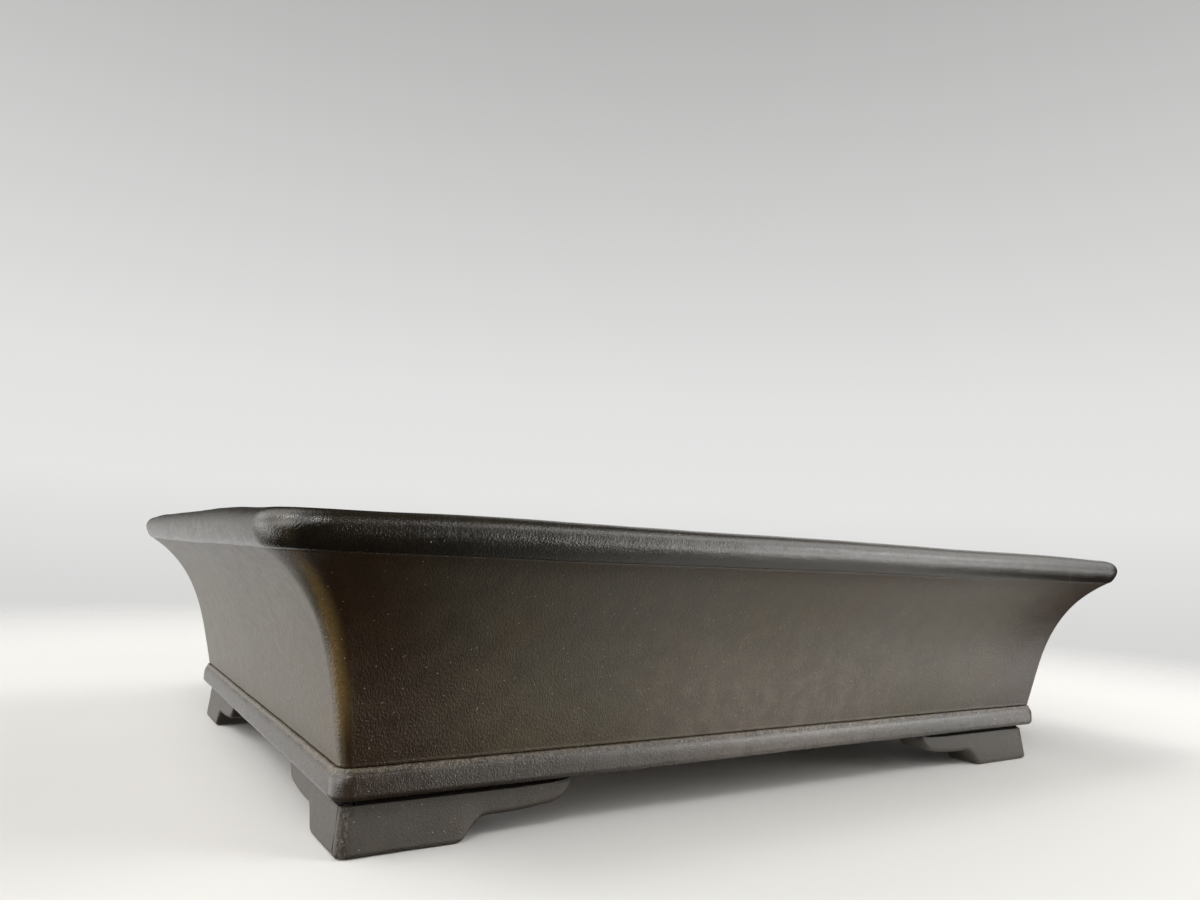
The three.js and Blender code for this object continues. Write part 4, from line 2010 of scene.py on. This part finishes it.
    def _world(self) -> None:
        """Makes the room: dim on the camera's side, with soft bright parts round it, and a pale
        backdrop that is only seen."""
        world = bpy.data.worlds.new("room")
        bpy.context.scene.world = world
        tree = ShaderTree(world)
        direction = tree.output(tree.node("ShaderNodeTexCoord"), "Generated")
        up = tree.axes(direction)[2]
        light = sum(glow.light(tree, direction) for glow in self.glows) + self.least_light
        stops = [(at, (grey, grey, grey * self.backdrop_tint)) for at, grey in self.backdrop]
        backdrop = tree.node("ShaderNodeValToRGB", {"stops": stops}, {"Fac": up * 0.5 + 0.5})
        lights = {"Color": self.light_colour, "Strength": light}
        lit = tree.output(tree.node("ShaderNodeBackground", {}, lights))
        looks = {"Color": tree.output(backdrop), "Strength": 1.0}
        seen = tree.output(tree.node("ShaderNodeBackground", {}, looks))
        camera_ray = tree.output(tree.node("ShaderNodeLightPath"), "Is Camera Ray")
        mixed = tree.node("ShaderNodeMixShader", {}, {0: camera_ray, 1: lit, 2: seen})
        tree.finish(tree.output(mixed), "ShaderNodeOutputWorld")

    def _camera(self) -> None:
        """Makes the camera, close to the pot's left front corner and a little under the rim."""
        camera = bpy.data.cameras.new("camera")
        camera.sensor_fit = "HORIZONTAL"
        camera.sensor_width = self.sensor
        camera.lens = self.lens
        camera.clip_start = self.nearest
        made = bpy.data.objects.new("camera", camera)
        up, back = -Vector(self.camera_down), -Vector(self.camera_ahead)
        turned = Matrix([self.camera_right, up, back]).transposed().to_4x4()
        made.matrix_world = Matrix.Translation(self.camera_place) @ turned
        bpy.context.scene.collection.objects.link(made)
        bpy.context.scene.camera = made


def main() -> None:
    """Builds the pot and the studio."""
    logging.basicConfig(level=logging.INFO, format="%(message)s")
    bpy.context.scene.view_settings.view_transform = "Standard"
    plan = PotPlan()
    wall = FlaredStoneware(
        name="wall_clay",
        body=(0.068, 0.051, 0.025),
        warm=(0.073, 0.051, 0.026),
        cool=(0.068, 0.056, 0.034),
    )
    rim = FlaredStoneware(
        name="rim_clay",
        body=(0.018, 0.014, 0.008),
        warm=(0.023, 0.015, 0.008),
        cool=(0.020, 0.017, 0.012),
        roughness=0.22,
        grain_depth=0.16,
        grain_size=0.62,
        streak=1.0,
        # The rim's colour for its pits and painted shade, then that of the light painted along its
        # ridges.
        umber_and_shade=(0.010, 0.007, 0.004),
        painted_ridge_light=(0.034, 0.026, 0.013),
        specks=0.02,
        corners=0.8,
    )
    band = LedgedStoneware(
        name="band_clay",
        body=(0.046, 0.038, 0.030),
        warm=(0.054, 0.041, 0.028),
        cool=(0.050, 0.045, 0.040),
        roughness=0.29,
        grain_depth=0.15,
        streak=1.1,
    )
    foot = FootStoneware(
        name="foot_clay",
        body=(0.045, 0.035, 0.024),
        warm=(0.052, 0.037, 0.023),
        cool=(0.047, 0.039, 0.030),
        roughness=0.54,
        grain_depth=0.12,
        streak=0.7,
    )
    floor = Stoneware(
        name="floor_clay",
        body=(0.092, 0.068, 0.042),
        warm=(0.104, 0.064, 0.034),
        cool=(0.086, 0.070, 0.050),
        roughness=0.66,
        grain_depth=0.11,
        streak=1.0,
        mottle=0.18,
        specks=0.09,
    )
    WallCourse(plan, "wall", wall).build()
    RimCourse(plan, "rim", rim).build()
    BandCourse(plan, "band", band).build()
    Floor(plan, floor).build()
    Feet(plan, foot).build()
    DrainScreens(plan, NetPlastic()).build()
    ScreenClips(plan, ClipWire()).build()
    Studio().build()


if __name__ == "__main__":
    main()
